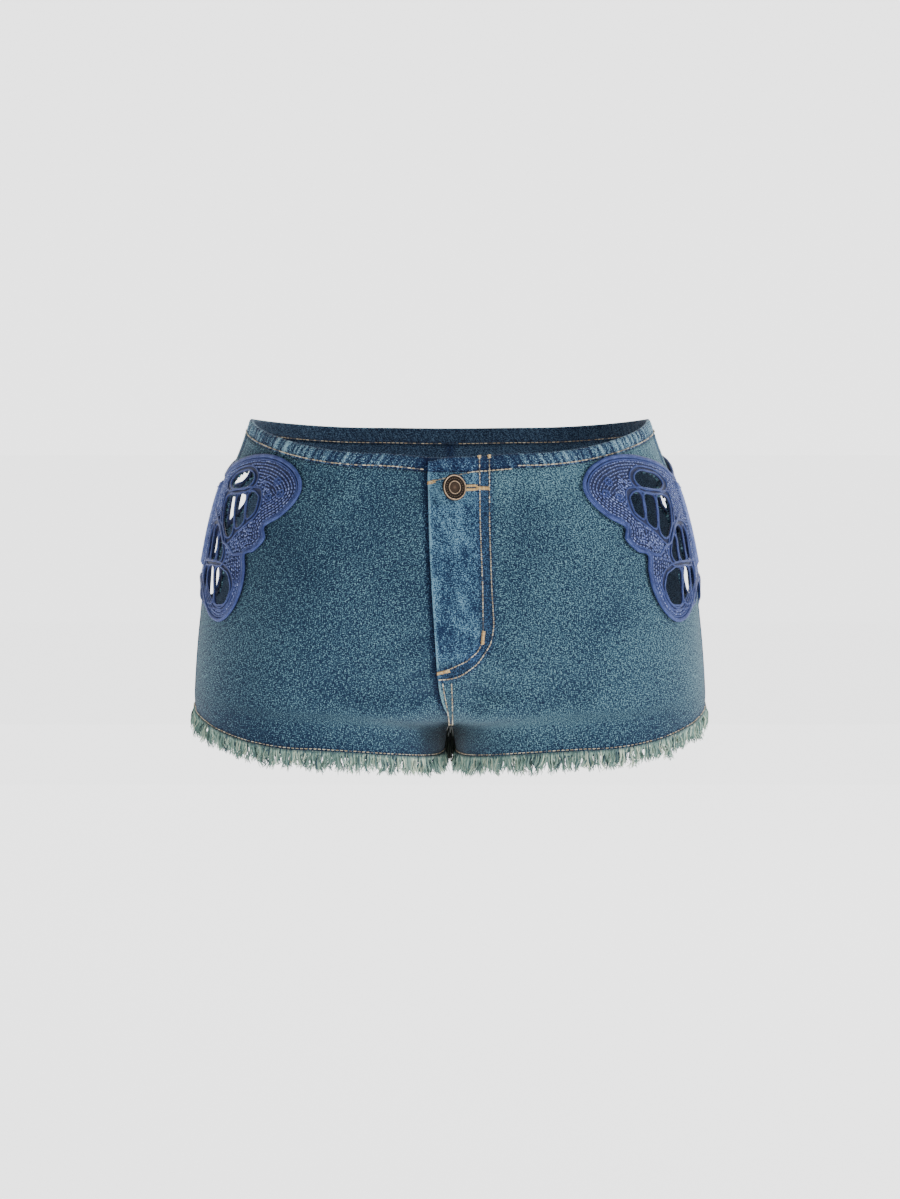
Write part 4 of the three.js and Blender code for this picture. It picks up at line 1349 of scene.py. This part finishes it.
def cords(name, side, routes, radius, height, material, sides=8):
    """Satin cords along flat routes, flattened a little against the ground."""
    all_points, all_faces, all_uv = [], [], []
    start = 0
    for route, closed, scale in routes:
        path, far = even_path(route, 1.0, closed)
        r = radius * scale
        u = path[:, 0] + askew(side, path[:, 1])
        v = level_at(u, path[:, 1])
        base = shell(u, v)
        out = directions(u, v)[2]
        middle = base + out * (height + r * 0.35)
        along = unit(np.gradient(middle, axis=0))
        if closed:
            along[0] = along[-1] = unit(middle[1] - middle[-2])
        across = unit(np.cross(along, out))
        taper = np.ones(len(path))
        if not closed:
            taper = np.clip(np.minimum(far, far[-1] - far) / 2.0, 0.3, 1)
        angle = np.arange(sides) * 2 * math.pi / sides
        ring = across[:, None] * np.cos(angle)[:, None] + out[:, None] * (0.75 * np.sin(angle))[:, None]
        points = (middle[:, None] + ring * (r * taper)[:, None, None]) * (side, 1, 1) * MM
        n = len(path)
        index = start + np.arange(n * sides).reshape(n, sides)
        nxt = np.roll(index, -1, axis=1)
        faces = np.stack([index[:-1], index[1:], nxt[1:], nxt[:-1]], axis=-1).reshape(-1, 4)
        all_faces += (faces if side > 0 else faces[:, ::-1]).tolist()
        all_points.append(points.reshape(-1, 3))
        uv = np.zeros((n, sides, 2))
        uv[..., 0] = far[:, None]
        uv[..., 1] = np.arange(sides)[None] * r
        all_uv.append(uv.reshape(-1, 2) * MM)
        start += n * sides
    piece = new_piece(name, np.concatenate(all_points), all_faces)
    set_uv(piece, "cloth", np.concatenate(all_uv))
    piece.data.materials.append(material)
    return piece


TOP_OF_GROUND = TRIM_LIFT + TRIM_THICK
WAIST_CORD = np.array([(72, 90), (60, 92), (53, 87), (44, 84), (34, 74), (22, 67), (8, 62)])


def grown(outline, distance):
    return inset_loop(smooth_loop(outline, 5), -distance)


def wing_cords(face):
    """Routes of the cords on one pair of wings: round each cell and each group of cells, across the
    waist between fore and hind wing, and in rows round the hind wing's tip."""
    flip = np.array([face, 1])
    routes = [(inset_loop(cell, -0.45) * flip, True, 0.48) for cell in CELL_EDGES]
    routes += [(grown(group, 1.9) * flip, True, 0.5) for group in DENIM_OPENINGS]
    routes.append((WAIST_CORD * flip, False, 0.8))
    for inset in (4.7, 6.7, 8.7):
        row = inset_loop(FULL_OUTLINE, inset)
        row = row[(row[:, 0] > 24) & (row[:, 1] > 99 + inset)]
        routes.append((row * flip, False, 0.42))
    return routes


def seed_stitches(name, side):
    """Rows of short stitches that follow the wings' edges, left out over the cells and cords."""
    dice = np.random.default_rng(57 + side)
    blocked = [grown(group, 2.6) * (face, 1) for group in DENIM_OPENINGS for face in (1, -1)]
    starts, ends = [], []
    for inset in np.arange(4.0, 36, 2.0):
        row, _ = even_path(inset_loop(FULL_OUTLINE, inset), 2.7, True)
        row = row + dice.normal(0, 0.12, row.shape)
        starts.append(row[:-1])
        ends.append(row[:-1] + (row[1:] - row[:-1]) * 0.78)
    starts, ends = np.concatenate(starts), np.concatenate(ends)
    middle = (starts + ends) / 2
    length = np.linalg.norm(ends - starts, axis=1)
    keep = inside(middle, inset_loop(FULL_OUTLINE, 2.6)) & (length < 3) & (length > 0.9)
    for cell in blocked:
        keep &= ~inside(middle, cell)
    starts, ends = starts[keep], ends[keep]
    # thin out rows that run into each other
    order = dice.permutation(len(starts))
    chosen = []
    taken = set()
    for k in order:
        key = tuple(np.floor((starts[k] + ends[k]) / 2 / 1.7).astype(int))
        if key not in taken:
            taken.add(key)
            chosen.append(k)
    starts, ends = starts[chosen], ends[chosen]
    t = np.linspace(0, 1, 4)[None, :, None]
    flat = starts[:, None] * (1 - t) + ends[:, None] * t
    arch = np.sin(np.linspace(0.25, math.pi - 0.25, 4))
    paths = on_patch(side, flat, TOP_OF_GROUND - 0.1 + 0.55 * arch[None])
    radii = np.array([0.6, 1, 1, 0.6]) * 0.55 * MM
    along = np.linspace(0, 2, 4)[None, :, None] * MM + dice.random(len(paths))[:, None, None]
    share = dice.random(len(paths))
    return threads(name, paths, radii, 4, (0.2, 0.1, 1), along, share, SEED, "embroidery")


def ring_route(u, drop, radius):
    angle = np.linspace(0, 2 * math.pi, 19)[:-1]
    return np.stack([u + radius * np.cos(angle), drop + radius * np.sin(angle)], axis=1)


def butterfly(name, side):
    ground = patch_base(name, side)
    edge = inset_loop(FULL_OUTLINE, 0.5)
    inner_edge = inset_loop(FULL_OUTLINE, 2.7)
    routes = [(edge, True, 1.0), (inner_edge, True, 0.5)]
    for face in (1, -1):
        routes += wing_cords(face)
        for u, drop in ((80, 42), (86, 50), (77, 53)):
            routes.append((ring_route(face * u, drop, 2.4), True, 0.55))
            routes.append((ring_route(face * u, drop, 0.7), True, 0.6))
    trim = cords(name + "_cords", side, routes, 1.45, TOP_OF_GROUND, CORD)
    trunk, head = [(0, 44), (0, 56), (0, 70), (0, 86), (0, 102)], [(0, 47), (0, 51)]
    body_routes = [(trunk, False, 2.0), (head, False, 2.6)]
    body = cords(name + "_body", side, body_routes, 1.3, TOP_OF_GROUND, SEED, 12)
    seeds = seed_stitches(name + "_seeds", side)
    return ground, [trim, body, seeds]


patches = {side: butterfly(name, side) for name, side in (("butterfly_left", 1), ("butterfly_right", -1))}

# ---- The button ----
# A jeans button of antique brass on a short neck, with a raised rim, a plain sunk ring and a domed
# middle. Its tack shows inside the waist. A keyhole buttonhole in golden thread runs to its side.
BUTTON = {"x": 2, "z": -33.3, "radius": 8.9, "stand": 6.8, "tilt": math.radians(28)}


def turned(profile, segments):
    """Points and faces of [radius, height] pairs turned about z, closed on the axis."""
    angle = np.arange(segments) * 2 * math.pi / segments
    profile = np.array(profile, float)
    ring = np.stack([np.cos(angle), np.sin(angle)], axis=1)
    flat = profile[:, None, :1] * ring[None]
    height = np.broadcast_to(profile[:, None, 1:], (len(profile), segments, 1))
    points = np.concatenate([flat, height], axis=2)
    index = np.arange(len(profile) * segments).reshape(len(profile), segments)
    nxt = np.roll(index, -1, axis=1)
    faces = np.stack([index[:-1], nxt[:-1], nxt[1:], index[1:]], axis=-1).reshape(-1, 4).tolist()
    return points.reshape(-1, 3), faces


def rounded_profile(points):
    """A profile with its corners softened, by cutting them twice."""
    p = np.array(points, float)
    for _ in range(2):
        near, far = p[:-1] * 0.75 + p[1:] * 0.25, p[:-1] * 0.25 + p[1:] * 0.75
        p = np.concatenate([p[:1], np.stack([near, far], axis=1).reshape(-1, 2), p[-1:]])
    return p


button_v = level_at(seam_at(0.2, 1), np.array(TOP_Z - BUTTON["z"]))
button_u = seam_at(button_v, 1) - BUTTON["x"]
button_out = directions(button_u, button_v)[2]
button_side = unit(np.array([1.0, 0, 0]) - button_out * button_out[0])
BUTTON_AXES = np.stack([button_side, np.cross(button_out, button_side), button_out])
BUTTON_AT = shell(button_u, button_v)


def at_button(points):
    return (points @ BUTTON_AXES + BUTTON_AT) * MM


def leaning(points):
    pivot = BUTTON["stand"] - 1
    c, s = math.cos(BUTTON["tilt"]), math.sin(BUTTON["tilt"])
    x, y, z = points[:, 0], points[:, 1], points[:, 2] - pivot
    return np.stack([x * c + z * s, y, -x * s + z * c + pivot], axis=1)


def brass(name, dark, bright, polish):
    """Antiqued brass: darkened in the hollows, rubbed bright on the rims."""
    finish = Finish(name, Metallic=0.85)
    height, far = finish.uv("cloth")
    patina = finish.noise(far * 900, height * 900, 4, 0.65)
    tone = (height.step(0.7, 1.0) * 0.85 + (patina - 0.5) * polish).clamped()
    finish.paint(finish.mix(tone, dark, bright), 0.62 - tone * 0.3)
    finish.bump(patina, 0.00015, 0.5)
    return finish.material


BRASS = brass("brass_antique", (0.008, 0.006, 0.005), (0.3, 0.21, 0.14), 0.5)
COPPER = brass("brass_worn_centre", (0.03, 0.019, 0.013), (0.2, 0.125, 0.08), 0.7)
RIM, SEAT = BUTTON["radius"], BUTTON["stand"]
CAP_SEGMENTS = 96
cap_profile = rounded_profile(
    [
        (0, SEAT - 0.2), (3, SEAT - 0.2), (RIM - 0.6, SEAT), (RIM, SEAT + 0.5), (RIM, SEAT + 1.1),
        (RIM - 0.35, SEAT + 1.75), (RIM - 0.9, SEAT + 2.0), (RIM - 1.35, SEAT + 1.75),
        (RIM - 1.6, SEAT + 1.3), (5.0, SEAT + 1.2), (4.7, SEAT + 1.65), (4.2, SEAT + 1.85),
        (3.7, SEAT + 1.65), (3.4, SEAT + 1.3), (2.4, SEAT + 1.35), (1.2, SEAT + 1.55), (0, SEAT + 1.6),
    ]
)
cap_points, cap_faces = turned(cap_profile, CAP_SEGMENTS)
button = new_piece("button_cap", at_button(leaning(cap_points)), cap_faces, "button")
cap_height = np.repeat((cap_profile[:, 1] - SEAT) / 2.0, CAP_SEGMENTS)
cap_far = np.hypot(cap_points[:, 0], cap_points[:, 1]) * MM
set_uv(button, "cloth", np.stack([np.clip(cap_height, 0, 1), cap_far], axis=1))
middle_faces = np.array([np.hypot(*cap_points[face][:, :2].mean(0)) < 3.2 for face in cap_faces])
for material in (BRASS, COPPER):
    button.data.materials.append(material)
button.data.polygons.foreach_set("material_index", middle_faces.astype(np.int32))

# small plain beads in the sunk ring
bead_profile = [(0, -0.2), (0.42, -0.1), (0.5, 0.12), (0.3, 0.34), (0, 0.4)]
bead_points, bead_faces = turned(bead_profile, 10)
BEADS, BEAD_RING = 24, 6.15
points, faces = [], []
for k in range(BEADS):
    angle = k * 2 * math.pi / BEADS
    centre = np.array([BEAD_RING * math.cos(angle), BEAD_RING * math.sin(angle), SEAT + 1.25])
    faces += (np.array(bead_faces) + len(bead_points) * k).tolist()
    points.append(leaning(bead_points + centre))
beads = new_piece("button_beads", at_button(np.concatenate(points)), faces)
set_uv(beads, "cloth", np.full((len(np.concatenate(points)), 2), 0.82))
beads.data.materials.append(BRASS)

neck_points, neck_faces = turned([(0, 0.3), (2.4, 0.3), (2.2, SEAT - 1.5), (2.8, SEAT), (0, SEAT)], 40)
neck = new_piece("button_neck", at_button(neck_points), neck_faces)
set_uv(neck, "cloth", np.full((len(neck_points), 2), 0.3))
neck.data.materials.append(BRASS)

tack_finish = Finish("brass_tack", Metallic=0.9, Roughness=0.45)
ground = tack_finish.node("ShaderNodeTexCoord", None, None, 3)
speck = tack_finish.node("ShaderNodeTexNoise", None, {"Vector": ground, "Scale": 700.0, "Detail": 3.0})
tack_finish.paint(tack_finish.mix(speck, (0.12, 0.08, 0.05), (0.5, 0.38, 0.24)))
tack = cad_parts["button_tack"]
tack.data.materials.clear()
tack.data.materials.append(tack_finish.material)


def buttonhole():
    """The keyhole: a satin edge of close golden threads round the eye and along both lips."""
    eye, slit, length = 3.0, 0.6, 15.5
    start = math.asin(slit / eye)
    angle = np.linspace(start, 2 * math.pi - start, 40)
    lower = [(x, -slit) for x in np.linspace(eye, length, 16)]
    upper = [(x, slit) for x in np.linspace(length, eye, 16)]
    ring = [(0.2 + eye * math.cos(a), eye * math.sin(a)) for a in angle]
    edge = np.array(ring + lower + upper)
    path, far = even_path(edge, 0.5, True)
    normal = inset_loop(path[:-1], -1.0) - path[:-1]
    inner = path[:-1] - normal * 0.2
    outer = path[:-1] + normal * 1.5
    t = np.linspace(0, 1, 6)[None, :, None]
    flat = inner[:, None] * (1 - t) + outer[:, None] * t
    x, y = flat[..., 0], flat[..., 1]
    drop = TOP_Z - BUTTON["z"] - y
    across = BUTTON["x"] + x
    v = level_at(seam_at(0.2, 1) - across, drop)
    arch = np.sin(np.linspace(0.15, math.pi, 6))
    paths = on_cloth(1, seam_at(v, 1) - across, v, 0.05 + 0.7 * arch[None])
    radii = np.array([0.7, 1, 1, 1, 1, 0.6]) * 0.34 * MM
    along = np.linspace(0, 1.7, 6)[None, :, None] * MM
    share = chance.uniform(0.3, 1, len(paths))
    threads("buttonhole_stitching", paths, radii, 5, (0, 1, 0.1), along, share, GOLD_THREAD, "denim")


buttonhole()
bar_tack("bar_tack_buttonhole", 21.8, TOP_Z - BUTTON["z"], 8.5, 0, 2.4)

# ---- The cut ----
# Flat sizes of the cloth pieces before sewing: width, length and area, in metres.
for name, size, area in (
    ("front_left", (0.29, 0.235), 0.049),
    ("front_right", (0.29, 0.235), 0.049),
    ("back_left", (0.31, 0.26), 0.057),
    ("back_right", (0.31, 0.26), 0.057),
):
    side = 1 if name.endswith("left") else -1
    extras = [fringes[side]] if name.startswith("front") else []
    if name == "front_left":
        extras += gap_threads
for side, (ground, extras) in patches.items():
    rests_on = ["front_left", "back_left"] if side > 0 else ["front_right", "back_right"]
